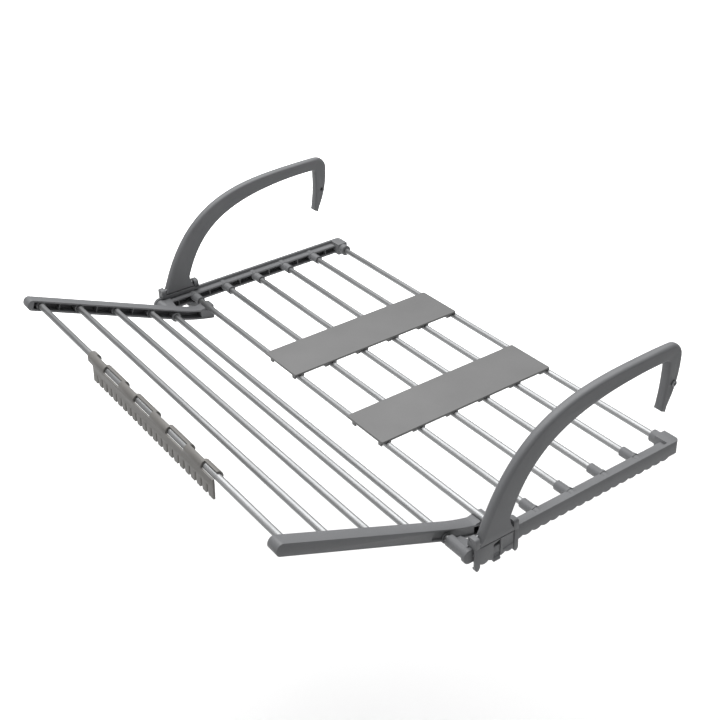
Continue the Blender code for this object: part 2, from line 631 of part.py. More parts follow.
def band(line, half):
    """The outline of a strip of even width about a centre line."""
    upper = []
    lower = []
    for number, point in enumerate(line):
        before = line[max(number - 1, 0)]
        after = line[min(number + 1, len(line) - 1)]
        direction = (after - before).normalized()
        normal = Vector((-direction.y, direction.x))
        upper.append(point + normal * half)
        lower.append(point - normal * half)
    return upper, lower


def make_wing_rails(plastic):
    half = WING_RAIL_DEPTH / 2
    line = wing_centre_line()
    upper, lower = band(line, half)
    nose = (upper[0] + lower[0]) / 2 + (line[0] - line[1]).normalized() * half * WING_NOSE
    outline = [tuple(p) for p in upper] + [tuple(p) for p in reversed(lower)] + [tuple(nose)]
    rail = prism("wing_rail", outline, "x", WING_INNER_X, WING_OUTER_X)

    def end_edge(a, b):
        return abs(a.x - b.x) < GAP and abs(a.x - WING_OUTER_X) < GAP

    rounded(rail, WING_BEVEL, 1, end_edge)
    # open channel on the inner side
    inner_line = [line[0] + (line[1] - line[0]).normalized() * WING_WALL] + line[1:]
    inner_line[-1] = line[-1] + (line[-2] - line[-1]).normalized() * WING_WALL
    top, bottom = band(inner_line, half - WING_WALL)
    channel = [tuple(p) for p in top] + [tuple(p) for p in reversed(bottom)]
    cut(rail, prism("channel", channel, "x", WING_INNER_X - MM, WING_OUTER_X - WING_WEB))
    boss_start = WING_INNER_X + BOSS_INSET
    for number in range(1, WING_TUBES + 1):
        centre = wing_tube_place(number)
        boss = circle((centre.y, centre.z), BORE_RADIUS + SOCKET_WALL, BORE_SIDES)
        join(rail, prism("boss", boss, "x", boss_start, WING_OUTER_X - WING_WEB / 2))
    hinge = (FRONT_TUBE_Y, 0.0)
    join(rail, prism("hinge_boss", circle(hinge, BORE_RADIUS + BOSS_WALL, BOSS_SIDES), "x",
                     WING_INNER_X + WING_MARGIN, WING_OUTER_X - WING_MARGIN))
    for number in range(1, WING_TUBES + 1):
        centre = wing_tube_place(number)
        cut(rail, prism("bore", circle((centre.y, centre.z), BORE_RADIUS, BORE_SIDES), "x",
                        WING_INNER_X - MM, WING_OUTER_X - WING_WEB / 2))
    cut(rail, prism("hinge_bore", circle(hinge, BORE_RADIUS, BORE_SIDES), "x",
                    WING_INNER_X - MM, WING_OUTER_X + MM))
    # solid toe with an open saddle for the next tube
    rest_y = FRONT_TUBE_Y + TUBE_PITCH
    low = line[-1].y - half + WING_MARGIN
    toe = [(rest_y - TOE_START, low + TOE_SLOPE), (line[-1].x - TOE_EDGE, low + TOE_EDGE),
           (line[-1].x + WING_MARGIN, 0.0), (rest_y + BORE_RADIUS, TUBE_RADIUS / 4),
           (rest_y - TOE_START, -TUBE_RADIUS / 2)]
    join(rail, prism("toe", toe, "x", WING_INNER_X + WING_MARGIN, WING_OUTER_X - WING_MARGIN))
    saddle = arc((rest_y, 0.0), BORE_RADIUS, 180, 360, 8)
    saddle += [(rest_y + BORE_RADIUS, WING_RAIL_DEPTH), (rest_y - BORE_RADIUS, WING_RAIL_DEPTH)]
    cut(rail, prism("saddle", saddle, "x", WING_INNER_X - MM, WING_OUTER_X + MM))
    both_sides(rail, "wing_rail", plastic, (WING_OUTER_X, FRONT_TUBE_Y, 0.0))


# ---------------------------------------------------------------- sock comb

def comb_section(tube):
    """Closed outline, y and z: a clip over the tube, and a blade that hangs from its front."""
    inner = TUBE_RADIUS + BORE_GAP
    outer = inner + COMB_WALL
    y, z = tube.y, tube.z
    path = arc((y, z), outer, COMB_CLIP_START, 180, 10)
    path += [(y - outer, z - COMB_KNEE), (y - outer - COMB_LEAN, z - COMB_DROP),
             (y - inner - COMB_LEAN, z - COMB_DROP), (y - inner, z - COMB_KNEE)]
    path += arc((y, z), inner, 180, COMB_CLIP_START, 10)
    return path


def make_comb(comb_grey):
    tube = wing_tube_place(1)
    left = COMB_OFFSET - COMB_LENGTH / 2
    right = left + COMB_LENGTH
    comb = prism("comb", comb_section(tube), "x", left, right)
    reach = TUBE_RADIUS + BORE_GAP + COMB_WALL + 2 * MM
    first = left + COMB_END
    for clip in range(COMB_CLIPS):
        start = first + COMB_CLIP_PITCH * clip
        # a window in the front shows the tube, and the strip behind it holds it
        low = tube.z - COMB_SILL
        window = [(tube.y - reach, low), (tube.y - GAP, low), (tube.y - GAP, tube.z + reach),
                  (tube.y - reach, tube.z + reach)]
        cut(comb, prism("window", window, "x", start, start + COMB_WINDOW))
        # between the windows only the front is left
        before = start - COMB_CLIP_PITCH + COMB_WINDOW + COMB_MARGIN if clip else left + COMB_HOOK
        behind = [(tube.y + 2 * GAP, tube.z - reach), (tube.y + reach, tube.z - reach),
                  (tube.y + reach, tube.z + reach), (tube.y + 2 * GAP, tube.z + reach)]
        cut(comb, prism("behind", behind, "x", before, start - COMB_MARGIN))
    low = tube.z - COMB_DROP
    cut(comb, box("notch", (left - MM, tube.y - COMB_DROP, low - MM),
                  (left + COMB_TAB, tube.y + COMB_DROP, tube.z - COMB_TAB_DROP)))
    pitch = (COMB_LENGTH - COMB_TAB) / COMB_TEETH
    for slot in range(1, COMB_TEETH):
        middle = left + COMB_TAB + pitch * slot
        half = COMB_SLOT / 2
        flare = low + COMB_SLOT_DEPTH / 4
        outline = [(middle - half - MM, low - MM), (middle + half + MM, low - MM), (middle + half, flare),
                   (middle, low + COMB_SLOT_DEPTH), (middle - half, flare)]
        cut(comb, prism("slot", outline, "y", tube.y - COMB_DROP, tube.y + COMB_DROP))
    complete(comb, "sock_comb", comb_grey, (0.0, tube.y, tube.z))


# ---------------------------------------------------------------- shelf plates

def clip_rib(front, low):
    """Side view of a rib under a plate, y and z: an open clip round each tube it crosses."""
    opening = math.degrees(math.asin(CLIP_DROP / BORE_RADIUS))
    rib = [(front + CLIP_INSET, low + MM), (front + CLIP_INSET, -CLIP_DROP)]
    for number in range(TUBE_COUNT - 1, 1, -1):
        centre = tube_y(number)
        rib += arc((centre, 0.0), BORE_RADIUS, 180 + opening, -opening, 8)
        behind = centre + CLIP_FINGER
        ahead = centre + TUBE_PITCH - CLIP_FINGER
        rib += [(behind, -CLIP_DROP), (behind, low - MM), (ahead, low - MM), (ahead, -CLIP_DROP)]
    rib += arc((REAR_TUBE_Y, 0.0), BORE_RADIUS, 180 + opening, 90, 5)
    rib += [(REAR_TUBE_Y, low + MM)]
    return rib


def make_shelf_plate(name, middle, plate_grey):
    front = tube_y(TUBE_COUNT - 1) - PLATE_OVERHANG
    rear = REAR_TUBE_Y + PLATE_REAR
    low = BORE_RADIUS + PLATE_LIFT
    high = low + PLATE_THICKNESS
    half = PLATE_WIDTH / 2
    plate = box("plate", (middle - half, front, low), (middle + half, rear, high))
    rounded(plate, PLATE_RADIUS, 2, lambda a, b: abs(a.z - b.z) > MM)
    rounded(plate, PLATE_EDGE, 1, lambda a, b: min(a.z, b.z) > high - PLATE_EDGE / 2)
    rib = clip_rib(front, low)
    for side in (-1, 1):
        centre = middle + side * CLIP_SPACING / 2
        join(plate, prism("rib", rib, "x", centre - CLIP_WIDTH / 2, centre + CLIP_WIDTH / 2))
    complete(plate, name, plate_grey, (middle, 0.0, 0.0))


def main():
    clear_scene()
    plastic = finish("moulded_grey", PLASTIC_GREY, 0.45, 0.0)
    plate_grey = finish("plate_grey", PLATE_GREY, 0.5, 0.0)
    comb_grey = finish("comb_grey", COMB_GREY, 0.5, 0.0)
    steel = finish("satin_steel", STEEL, 0.3, 1.0)
    make_side_rails(plastic)
    make_tubes(steel)
    make_carriages(plastic)
    make_latches(plastic, steel)
    make_arms(plastic, steel)
    make_wing_rails(plastic)
    make_comb(comb_grey)
    for side, middle in PLATE_PLACES.items():
        make_shelf_plate(side + "_shelf_plate", middle, plate_grey)


main()
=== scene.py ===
import math

import bpy
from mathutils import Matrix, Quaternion, Vector


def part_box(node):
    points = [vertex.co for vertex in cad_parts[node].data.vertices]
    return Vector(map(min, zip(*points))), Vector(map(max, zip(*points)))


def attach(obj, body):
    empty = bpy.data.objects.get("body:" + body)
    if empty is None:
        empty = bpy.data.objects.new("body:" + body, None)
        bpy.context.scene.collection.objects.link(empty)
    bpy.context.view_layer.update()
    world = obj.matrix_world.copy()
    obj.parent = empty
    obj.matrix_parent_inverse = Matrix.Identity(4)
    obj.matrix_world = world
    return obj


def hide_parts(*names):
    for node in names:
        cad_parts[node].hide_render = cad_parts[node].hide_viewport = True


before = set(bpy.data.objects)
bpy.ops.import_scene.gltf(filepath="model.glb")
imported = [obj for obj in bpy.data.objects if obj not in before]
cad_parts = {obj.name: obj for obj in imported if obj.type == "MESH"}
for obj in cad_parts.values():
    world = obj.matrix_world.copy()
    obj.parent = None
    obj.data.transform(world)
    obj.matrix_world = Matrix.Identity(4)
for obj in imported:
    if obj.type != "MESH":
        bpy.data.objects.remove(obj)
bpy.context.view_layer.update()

bl_info = {
    "name": "Hook-over drying rack",
    "version": (1, 0, 0),
    "blender": (4, 5, 0),
    "location": "View3D > Sidebar > Drying rack",
    "description": "Builds the finished pieces of a hook-over drying rack on its CAD frame",
    "category": "Object",
}

MM = 0.001
SIDES = ("right", "left")       # the order in which twins are finished
GAP = 0.3 * MM                  # between pieces that touch or run on each other
BORE_GAP = 0.35 * MM            # radial, round a tube in its socket
SOCKET_WALL = 1.6 * MM          # round a tube's bore
FLANGE = 2.2 * MM               # upper and lower flange of a side rail
LATCH_PIN_HEIGHT = -1.0 * MM
LATCH_BORE = 1.3 * MM           # radius
HINGE_BORE = 1.8 * MM           # radius
PIN_FACETS = 32
BOSS_FACETS = 48


def linear(text):
    """A colour, four numbers, from its sRGB hex value."""
    shares = [int(text[place:place + 2], 16) / 255 for place in (0, 2, 4)]
    return tuple(s / 12.92 if s <= 0.04045 else ((s + 0.055) / 1.055) ** 2.4 for s in shares) + (1.0,)


# ---------------------------------------------------------------- what a user may change

class RackSizes(bpy.types.PropertyGroup):
    tube_facets: bpy.props.IntProperty(
        name="Tube facets", description="Faces round each steel tube", default=48, min=12, max=96)
    tube_wall: bpy.props.FloatProperty(
        name="Tube wall", description="Wall of the steel tube, seen at its open ends",
        default=0.8 * MM, min=0.2 * MM, max=2.0 * MM, unit="LENGTH", precision=5)
    moulded_edge: bpy.props.FloatProperty(
        name="Moulded edge", description="Radius that a mould leaves on the rails' and carriages' edges",
        default=0.45 * MM, min=0.05 * MM, max=1.2 * MM, unit="LENGTH", precision=5)
    plate_edge: bpy.props.FloatProperty(
        name="Plate edge", description="Radius along the top edges of the shelf plates",
        default=0.7 * MM, min=0.1 * MM, max=1.2 * MM, unit="LENGTH", precision=5)
    tooth_pitch: bpy.props.FloatProperty(
        name="Tooth pitch", description="Spacing of the latch teeth under the side rails",
        default=13.0 * MM, min=5.0 * MM, max=25.0 * MM, unit="LENGTH", precision=5)
    arm_steps: bpy.props.IntProperty(
        name="Arm steps", description="Sections along each hook arm's bow", default=44, min=12, max=90)


class RackFinishes(bpy.types.PropertyGroup):
    frame_grey: bpy.props.FloatVectorProperty(
        name="Rails and arms", description="Colour of the moulded rails, carriages and arms",
        default=linear("707173"), size=4, min=0.0, max=1.0, subtype="COLOR")
    plate_grey: bpy.props.FloatVectorProperty(
        name="Shelf plates", description="Colour of the moulded shelf plates",
        default=linear("707070"), size=4, min=0.0, max=1.0, subtype="COLOR")
    comb_grey: bpy.props.FloatVectorProperty(
        name="Sock comb", description="Colour of the moulded sock comb",
        default=linear("757370"), size=4, min=0.0, max=1.0, subtype="COLOR")
    tube_steel: bpy.props.FloatVectorProperty(
        name="Tubes", description="Colour of the drawn steel tubes",
        default=linear("A4A5A6"), size=4, min=0.0, max=1.0, subtype="COLOR")
    pin_steel: bpy.props.FloatVectorProperty(
        name="Pins and screws", description="Colour of the zinc-plated pins and screws",
        default=linear("8F9092"), size=4, min=0.0, max=1.0, subtype="COLOR")
    plastic_roughness: bpy.props.FloatProperty(
        name="Plastic roughness", description="How matt the moulded grain is", default=0.52,
        min=0.1, max=1.0, subtype="FACTOR")
    steel_roughness: bpy.props.FloatProperty(
        name="Tube roughness", description="How satin the drawn tubes are", default=0.52,
        min=0.05, max=0.8, subtype="FACTOR")
    floor_white: bpy.props.FloatVectorProperty(
        name="Floor", description="Colour of the studio floor", default=linear("FCFCFC"),
        size=4, min=0.0, max=1.0, subtype="COLOR")


# ---------------------------------------------------------------- materials

def add_node(tree, kind, values=None, links=None, **settings):
    """A shader node with its settings, its sockets' values and the outputs linked into it."""
    node = tree.nodes.new(kind)
    for name, value in settings.items():
        setattr(node, name, value)
    for name, value in (values or {}).items():
        node.inputs[name].default_value = value
    for name, output in (links or {}).items():
        tree.links.new(output, node.inputs[name])
    return node


def new_material(name):
    """A new material, its node tree and its shader."""
    material = bpy.data.materials.new(name)
    material.use_nodes = True
    tree = material.node_tree
    return material, tree, tree.nodes["Principled BSDF"]


def colour_socket(node, letter):
    """A colour Mix node's own socket: its inputs share their names with the number and vector ones."""
    return [s for s in node.inputs if s.name == letter and s.type == "RGBA"][0]


def result_of(node):
    return [s for s in node.outputs if s.type == "RGBA"][0]


def set_colours(node, first, second):
    colour_socket(node, "A").default_value = first
    colour_socket(node, "B").default_value = second


def shade(base, amount):
    """The base colour made lighter or darker by a share."""
    return tuple(min(1.0, c * amount) for c in base[:3]) + (1.0,)


def moulded_plastic(name, base, roughness, grain=0.9 * MM, cloud=70 * MM):
    """Injection-moulded polypropylene from a spark-eroded mould: an even satin skin of fine grain,
    slightly cloudy where the melt flowed. The real grain is near 0.1 mm, too fine to show at this
    size, so it is drawn at 0.9 mm and kept low."""
    if name in bpy.data.materials:
        return bpy.data.materials[name]
    material, tree, shader = new_material(name)
    place = add_node(tree, "ShaderNodeTexCoord")
    cloudy = add_node(tree, "ShaderNodeTexNoise", {"Scale": 1 / cloud, "Detail": 3.0, "Roughness": 0.55},
                      {"Vector": place.outputs["Object"]})
    fine = add_node(tree, "ShaderNodeTexNoise", {"Scale": 1 / grain, "Detail": 2.0, "Roughness": 0.6},
                    {"Vector": place.outputs["Object"]})
    specks = add_node(tree, "ShaderNodeTexVoronoi", {"Scale": 1 / (1.6 * grain), "Randomness": 1.0},
                      {"Vector": place.outputs["Object"]})
    tone = add_node(tree, "ShaderNodeMapRange", {"From Min": 0.3, "From Max": 0.7},
                    {"Value": cloudy.outputs["Fac"]})
    flow = add_node(tree, "ShaderNodeMix", None, {"Factor": tone.outputs["Result"]}, data_type="RGBA")
    set_colours(flow, shade(base, 0.94), shade(base, 1.05))
    pits = add_node(tree, "ShaderNodeMapRange", {"From Min": 0.35, "From Max": 0.7},
                    {"Value": fine.outputs["Fac"]})
    grainy = add_node(tree, "ShaderNodeMix", None, {"Factor": pits.outputs["Result"]},
                      data_type="RGBA", blend_type="MULTIPLY")
    tree.links.new(result_of(flow), colour_socket(grainy, "A"))
    colour_socket(grainy, "B").default_value = (0.955, 0.955, 0.955, 1.0)
    tree.links.new(result_of(grainy), shader.inputs["Base Color"])
    dull = add_node(tree, "ShaderNodeMapRange",
                    {"From Min": 0.3, "From Max": 0.7,
                     "To Min": roughness - 0.06, "To Max": roughness + 0.07},
                    {"Value": fine.outputs["Fac"]})
    tree.links.new(dull.outputs["Result"], shader.inputs["Roughness"])
    height = add_node(tree, "ShaderNodeMath", {1: 0.35}, {0: specks.outputs["Distance"]},
                      operation="MULTIPLY")
    relief = add_node(tree, "ShaderNodeMath", None, {0: height.outputs[0], 1: fine.outputs["Fac"]},
                      operation="ADD")
    bump = add_node(tree, "ShaderNodeBump", {"Strength": 0.3, "Distance": 0.06 * MM},
                    {"Height": relief.outputs[0]})
    tree.links.new(bump.outputs["Normal"], shader.inputs["Normal"])
    shader.inputs["IOR"].default_value = 1.49
    return material


def drawn_steel(name, base, roughness, line=0.5 * MM):
    """Stainless tube, cold drawn and belt polished: satin, with long faint lines along the tube and
    a slow change of polish. The real lines are near 0.05 mm apart and are drawn ten times as far."""
    if name in bpy.data.materials:
        return bpy.data.materials[name]
    material, tree, shader = new_material(name)
    place = add_node(tree, "ShaderNodeTexCoord")
    along = add_node(tree, "ShaderNodeMapping", {"Scale": (1 / (90 * MM), 1 / line, 1 / line)},
                     {"Vector": place.outputs["Object"]})
    lines = add_node(tree, "ShaderNodeTexNoise", {"Scale": 1.0, "Detail": 3.0, "Roughness": 0.6},
                     {"Vector": along.outputs["Vector"]})
    slow = add_node(tree, "ShaderNodeTexNoise", {"Scale": 1 / (60 * MM), "Detail": 2.0},
                    {"Vector": place.outputs["Object"]})
    tone = add_node(tree, "ShaderNodeMapRange", {"From Min": 0.3, "From Max": 0.7},
                    {"Value": lines.outputs["Fac"]})
    colour = add_node(tree, "ShaderNodeMix", None, {"Factor": tone.outputs["Result"]}, data_type="RGBA")
    set_colours(colour, shade(base, 0.9), shade(base, 1.06))
    tree.links.new(result_of(colour), shader.inputs["Base Color"])
    polish = add_node(tree, "ShaderNodeMapRange",
                      {"From Min": 0.3, "From Max": 0.7,
                       "To Min": roughness - 0.05, "To Max": roughness + 0.07},
                      {"Value": slow.outputs["Fac"]})
    tree.links.new(polish.outputs["Result"], shader.inputs["Roughness"])
    bump = add_node(tree, "ShaderNodeBump", {"Strength": 0.15, "Distance": 0.02 * MM},
                    {"Height": lines.outputs["Fac"]})
    tree.links.new(bump.outputs["Normal"], shader.inputs["Normal"])
    shader.inputs["Metallic"].default_value = 1.0
    return material


def plated_steel(name, base):
    """Zinc-plated wire and screw steel: grey, dull, with small spangles from the plating bath."""
    if name in bpy.data.materials:
        return bpy.data.materials[name]
    material, tree, shader = new_material(name)
    place = add_node(tree, "ShaderNodeTexCoord")
    spangle = add_node(tree, "ShaderNodeTexVoronoi", {"Scale": 1 / (1.2 * MM)},
                       {"Vector": place.outputs["Object"]})
    dull = add_node(tree, "ShaderNodeMapRange",
                    {"From Min": 0.0, "From Max": 0.8, "To Min": 0.34, "To Max": 0.5},
                    {"Value": spangle.outputs["Distance"]})
    tree.links.new(dull.outputs["Result"], shader.inputs["Roughness"])
    colour = add_node(tree, "ShaderNodeMix", None, {"Factor": spangle.outputs["Distance"]},
                      data_type="RGBA")
    set_colours(colour, shade(base, 1.08), shade(base, 0.82))
    tree.links.new(result_of(colour), shader.inputs["Base Color"])
    shader.inputs["Metallic"].default_value = 1.0
    return material


def frame_plastic(context):
    looks = context.scene.rack_finishes
    return moulded_plastic("Moulded grey polypropylene", tuple(looks.frame_grey), looks.plastic_roughness)


def plate_plastic(context):
    looks = context.scene.rack_finishes
    return moulded_plastic("Matt plate polypropylene", tuple(looks.plate_grey),
                           looks.plastic_roughness + 0.04, grain=1.1 * MM)


def comb_plastic(context):
    looks = context.scene.rack_finishes
    return moulded_plastic("Warm comb polypropylene", tuple(looks.comb_grey),
                           looks.plastic_roughness, cloud=45 * MM)


def tube_metal(context):
    looks = context.scene.rack_finishes
    return drawn_steel("Drawn satin steel", tuple(looks.tube_steel), looks.steel_roughness)


def pin_metal(context):
    return plated_steel("Zinc plated steel", tuple(context.scene.rack_finishes.pin_steel))


# ---------------------------------------------------------------- modelling tools

def only(piece):
    """Leave one object selected and active."""
    bpy.ops.object.select_all(action="DESELECT")
    piece.select_set(True)
    bpy.context.view_layer.objects.active = piece


def place(axis, across, along):
    """A point from its two coordinates across an axis and its place along it."""
    first, second = across
    return {"x": (along, first, second), "y": (first, along, second), "z": (first, second, along)}[axis]


def square_up():
    """In edit mode, merge doubles and turn every face outwards."""
    bpy.ops.mesh.select_all(action="SELECT")
    bpy.ops.mesh.remove_doubles(threshold=0.002 * MM)
    bpy.ops.mesh.normals_make_consistent(inside=False)


def drawn_solid(outline, axis, start, end):
    """A filled circle drawn out to an outline across an axis, then extruded along it."""
    bpy.ops.object.select_all(action="DESELECT")
    bpy.ops.mesh.primitive_circle_add(vertices=len(outline), radius=1.0, fill_type="NGON")
    piece = bpy.context.object
    for vertex, point in zip(piece.data.vertices, outline):
        vertex.co = place(axis, point, start)
    bpy.ops.object.mode_set(mode="EDIT")
    bpy.ops.mesh.select_all(action="SELECT")
    travel = place(axis, (0.0, 0.0), end - start)
    bpy.ops.mesh.extrude_region_move(TRANSFORM_OT_translate={"value": travel})
    square_up()
    bpy.ops.object.mode_set(mode="OBJECT")
    return piece


def block(low, high):
    corners = [(low[0], low[1]), (high[0], low[1]), (high[0], high[1]), (low[0], high[1])]
    return drawn_solid(corners, "z", low[2], high[2])


def circle(centre, radius, facets):
    angles = [math.tau * (step + 0.5) / facets for step in range(facets)]
    return [(centre[0] + radius * math.cos(a), centre[1] + radius * math.sin(a)) for a in angles]


def arc(centre, radius, start, end, steps):
    """Points along an arc, angles in degrees."""
    angles = [math.radians(start + (end - start) * step / steps) for step in range(steps + 1)]
    return [(centre[0] + radius * math.cos(a), centre[1] + radius * math.sin(a)) for a in angles]


def rounded_outline(corners, radius, steps=4):
    """An outline with each of its corners rounded, as far as its sides allow."""
    points = []
    count = len(corners)
    for number in range(count):
        here = Vector(corners[number])
        before = Vector(corners[number - 1]) - here
        after = Vector(corners[(number + 1) % count]) - here
        reach = min(radius, before.length * 0.45, after.length * 0.45)
        first = here + before.normalized() * reach
        last = here + after.normalized() * reach
        for step in range(steps + 1):
            share = step / steps
            rest = 1 - share
            points.append(tuple(first * rest * rest + here * 2 * rest * share + last * share * share))
    return points


def combine(piece, other, operation):
    only(piece)
    modifier = piece.modifiers.new("Combine", "BOOLEAN")
    modifier.operation = operation
    modifier.solver = "EXACT"
    modifier.object = other
    bpy.ops.object.modifier_apply(modifier=modifier.name)
    bpy.data.objects.remove(other, do_unlink=True)
    return piece


def join(piece, *others):
    for other in others:
        combine(piece, other, "UNION")
    return piece


def cut(piece, *others):
    for other in others:
        combine(piece, other, "DIFFERENCE")
    return piece


def soften(piece, width, segments=2, angle=32.0):
    """Merge what booleans leave, and round the edges as a mould does."""
    only(piece)
    bpy.ops.object.mode_set(mode="EDIT")
    square_up()
    bpy.ops.mesh.dissolve_limited(angle_limit=math.radians(0.6))
    bpy.ops.object.mode_set(mode="OBJECT")
    modifier = piece.modifiers.new("Edge", "BEVEL")
    modifier.width = width
    modifier.segments = segments
    modifier.limit_method = "ANGLE"
    modifier.angle_limit = math.radians(angle)
    bpy.ops.object.modifier_apply(modifier=modifier.name)
    return piece


def complete(piece, name, material, body, nodes=(), smooth=38.0):
    """Name a piece, give it its finish and hang it on its CAD body."""
    piece.name = name
    piece.data.name = name
    piece.data.materials.clear()
    piece.data.materials.append(material)
    only(piece)
    bpy.ops.object.shade_smooth_by_angle(angle=math.radians(smooth))
    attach(piece, body)
    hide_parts(*nodes)
    return piece


def twin(piece):
    """A copy turned over to the other side, with its own mesh."""
    only(piece)
    bpy.ops.object.duplicate(linked=False)
    other = bpy.context.object
    bpy.ops.object.mode_set(mode="EDIT")
    bpy.ops.mesh.select_all(action="SELECT")
    bpy.ops.transform.resize(value=(-1.0, 1.0, 1.0), center_override=(0.0, 0.0, 0.0))
    bpy.ops.mesh.flip_normals()
    bpy.ops.object.mode_set(mode="OBJECT")
    return other


def both_sides(piece, name, material, body, node):
    """The right-hand piece and its left-hand twin; body and node are named without their side."""
    other = twin(piece)
    for made, side in zip((piece, other), SIDES):
        on = body if body in ("frame", "wing") else f"{side}_{body}"
        complete(made, f"{side}_{name}", material, on, [f"{side}_{node}"])


# ---------------------------------------------------------------- places on the frame

def crosswise(node):
    """Centre, y and z, of a piece that lies across the rack."""
    low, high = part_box(node)
    return (low.y + high.y) / 2, (low.z + high.z) / 2


def lengthwise(node):
    """Centre, x and z, of a pin that lies along a side rail."""
    low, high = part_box(node)
    return (low.x + high.x) / 2, (low.z + high.z) / 2


def tube_place(number):
    """A main tube's centre, counted from 1 at the rear."""
    return crosswise(f"rack_tube_{number}")


def wing_place(number):
    """A wing tube's centre, counted from 1 at the wing's outer end."""
    return crosswise(f"wing_tube_{number}")


TUBES = sum(1 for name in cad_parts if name.startswith("rack_tube_"))
WING_TUBES = sum(1 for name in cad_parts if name.startswith("wing_tube_"))
FRONT_Y = tube_place(TUBES)[0]
REAR_Y = tube_place(1)[0]
TUBE_PITCH = (REAR_Y - FRONT_Y) / (TUBES - 1)
TUBE_RADIUS = (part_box("rack_tube_1")[1].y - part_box("rack_tube_1")[0].y) / 2
BORE_RADIUS = TUBE_RADIUS + BORE_GAP

RAIL_LOW, RAIL_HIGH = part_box("right_side_rail")
MOUTH_X, RAIL_OUTER = RAIL_LOW.x, RAIL_HIGH.x
RAIL_INNER = RAIL_OUTER - 14.0 * MM
RIB_INNER = RAIL_OUTER - 4.2 * MM
RIB_TOP, TEETH_BOTTOM = RAIL_HIGH.z, RAIL_LOW.z
RAIL_TOP = RIB_TOP - 4.0 * MM
TOOTH_DEPTH = 2.2 * MM
RAIL_BOTTOM = TEETH_BOTTOM + TOOTH_DEPTH
CORNER_RADIUS = -REAR_Y         # the rack's rear face is at y = 0
NOSE_RADIUS = 6.8 * MM

CAR_LOW, CAR_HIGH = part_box("right_carriage")
ARM_LOW, ARM_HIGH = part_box("right_hook_arm")
LEVER_LOW, LEVER_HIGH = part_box("right_latch_lever")
WING_LOW, WING_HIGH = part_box("right_wing_rail")
WALL_INNER, WALL_OUTER = RAIL_OUTER + GAP, CAR_HIGH.x


# ---------------------------------------------------------------- tubes

def pick_faces(piece, wanted):
    """Go to edit mode with only the wanted faces selected, told by their middle and normal."""
    only(piece)
    bpy.ops.object.mode_set(mode="EDIT")
    bpy.ops.mesh.select_mode(type="FACE")
    bpy.ops.mesh.select_all(action="DESELECT")
    bpy.ops.object.mode_set(mode="OBJECT")
    for face in piece.data.polygons:
        face.select = wanted(face.center, face.normal)
    bpy.ops.object.mode_set(mode="EDIT")


def drawn_tube(node, facets, wall):
    """A steel tube with open, deburred ends."""
    open_depth, deburr = 25 * MM, 0.2 * MM
    low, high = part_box(node)
    middle = (low + high) / 2
    bpy.ops.object.select_all(action="DESELECT")
    bpy.ops.mesh.primitive_cylinder_add(vertices=facets, radius=TUBE_RADIUS, depth=high.x - low.x,
                                        location=middle, rotation=(0.0, math.pi / 2, 0.0))
    tube = bpy.context.object
    bpy.ops.object.transform_apply(location=True, rotation=True, scale=True)
    for side in (-1, 1):
        pick_faces(tube, lambda centre, normal: normal.x * side > 0.9)
        bpy.ops.mesh.inset(thickness=wall, depth=0.0)
        bpy.ops.mesh.extrude_region_move(TRANSFORM_OT_translate={"value": (-open_depth * side, 0.0, 0.0)})
        bpy.ops.object.mode_set(mode="OBJECT")
    modifier = tube.modifiers.new("Deburr", "BEVEL")
    modifier.width = deburr
    modifier.segments = 2
    modifier.limit_method = "ANGLE"
    modifier.angle_limit = math.radians(40)
    only(tube)
    bpy.ops.object.modifier_apply(modifier=modifier.name)
    return tube


class RACK_OT_tubes(bpy.types.Operator):
    """Draw the frame's and the wing's steel tubes"""
    bl_idname = "rack.tubes"
    bl_label = "Steel tubes"

    def execute(self, context):
        sizes = context.scene.rack_sizes
        metal = tube_metal(context)
        for kind, count, body in (("rack_tube", TUBES, "frame"), ("wing_tube", WING_TUBES, "wing")):
            for number in range(1, count + 1):
                node = f"{kind}_{number}"
                tube = drawn_tube(node, sizes.tube_facets, sizes.tube_wall)
                complete(tube, f"{kind}_{number}_drawn", metal, body, [node])
        return {"FINISHED"}


# ---------------------------------------------------------------- side rails

def scallops(front, rear, base, depth, pitch_wanted, steps=10):
    """A toothed lower edge, from rear to front: round hollows between sharp little teeth."""
    count = max(1, round((rear - front) / pitch_wanted))
    pitch = (rear - front) / count
    points = []
    for tooth in range(count):
        for step in range(steps):
            share = step / steps
            hollow = depth * math.sin(math.pi * share) ** 0.8
            points.append((rear - pitch * (tooth + share), base - hollow))
    points.append((front, base))
    return points


def rear_block():
    """The closed corner at a rail's rear end, with the round socket that turns inward from it."""
    round_off = 6.0 * MM
    inner = (RAIL_INNER + MOUTH_X) / 2
    rear, front = REAR_Y + CORNER_RADIUS, REAR_Y - CORNER_RADIUS
    outline = [(inner, front), (inner, rear)]
    outline += arc((RAIL_OUTER - round_off, rear - round_off), round_off, 90, 0, 14)
    outline += [(RAIL_OUTER, front)]
    corner = drawn_solid(outline, "z", RAIL_BOTTOM, RIB_TOP)
    nose = drawn_solid(circle((REAR_Y, 0.0), CORNER_RADIUS - GAP, BOSS_FACETS), "x", MOUTH_X, inner + MM)
    return join(corner, nose)


def stiffener(number, outer):
    """A thin wall across the rail's channel, halfway from a tube to the one behind it."""
    inset, half = 1.6 * MM, 0.6 * MM
    y = tube_place(number)[0] + TUBE_PITCH / 2
    return block((RAIL_INNER + inset, y - half, RAIL_BOTTOM + MM), (outer, y + half, RAIL_TOP - MM))


def front_cheek():
    """The sloping gusset beside the front socket, behind the rail's nose."""
    depth, clear, lip = 14.0 * MM, 3.4 * MM, -1.0 * MM
    low, outer = -NOSE_RADIUS + MM, RIB_INNER - clear
    cheek = [(MOUTH_X, low), (outer, low), (outer, NOSE_RADIUS), (MOUTH_X, lip)]
    return drawn_solid(cheek, "y", FRONT_Y, FRONT_Y + depth)


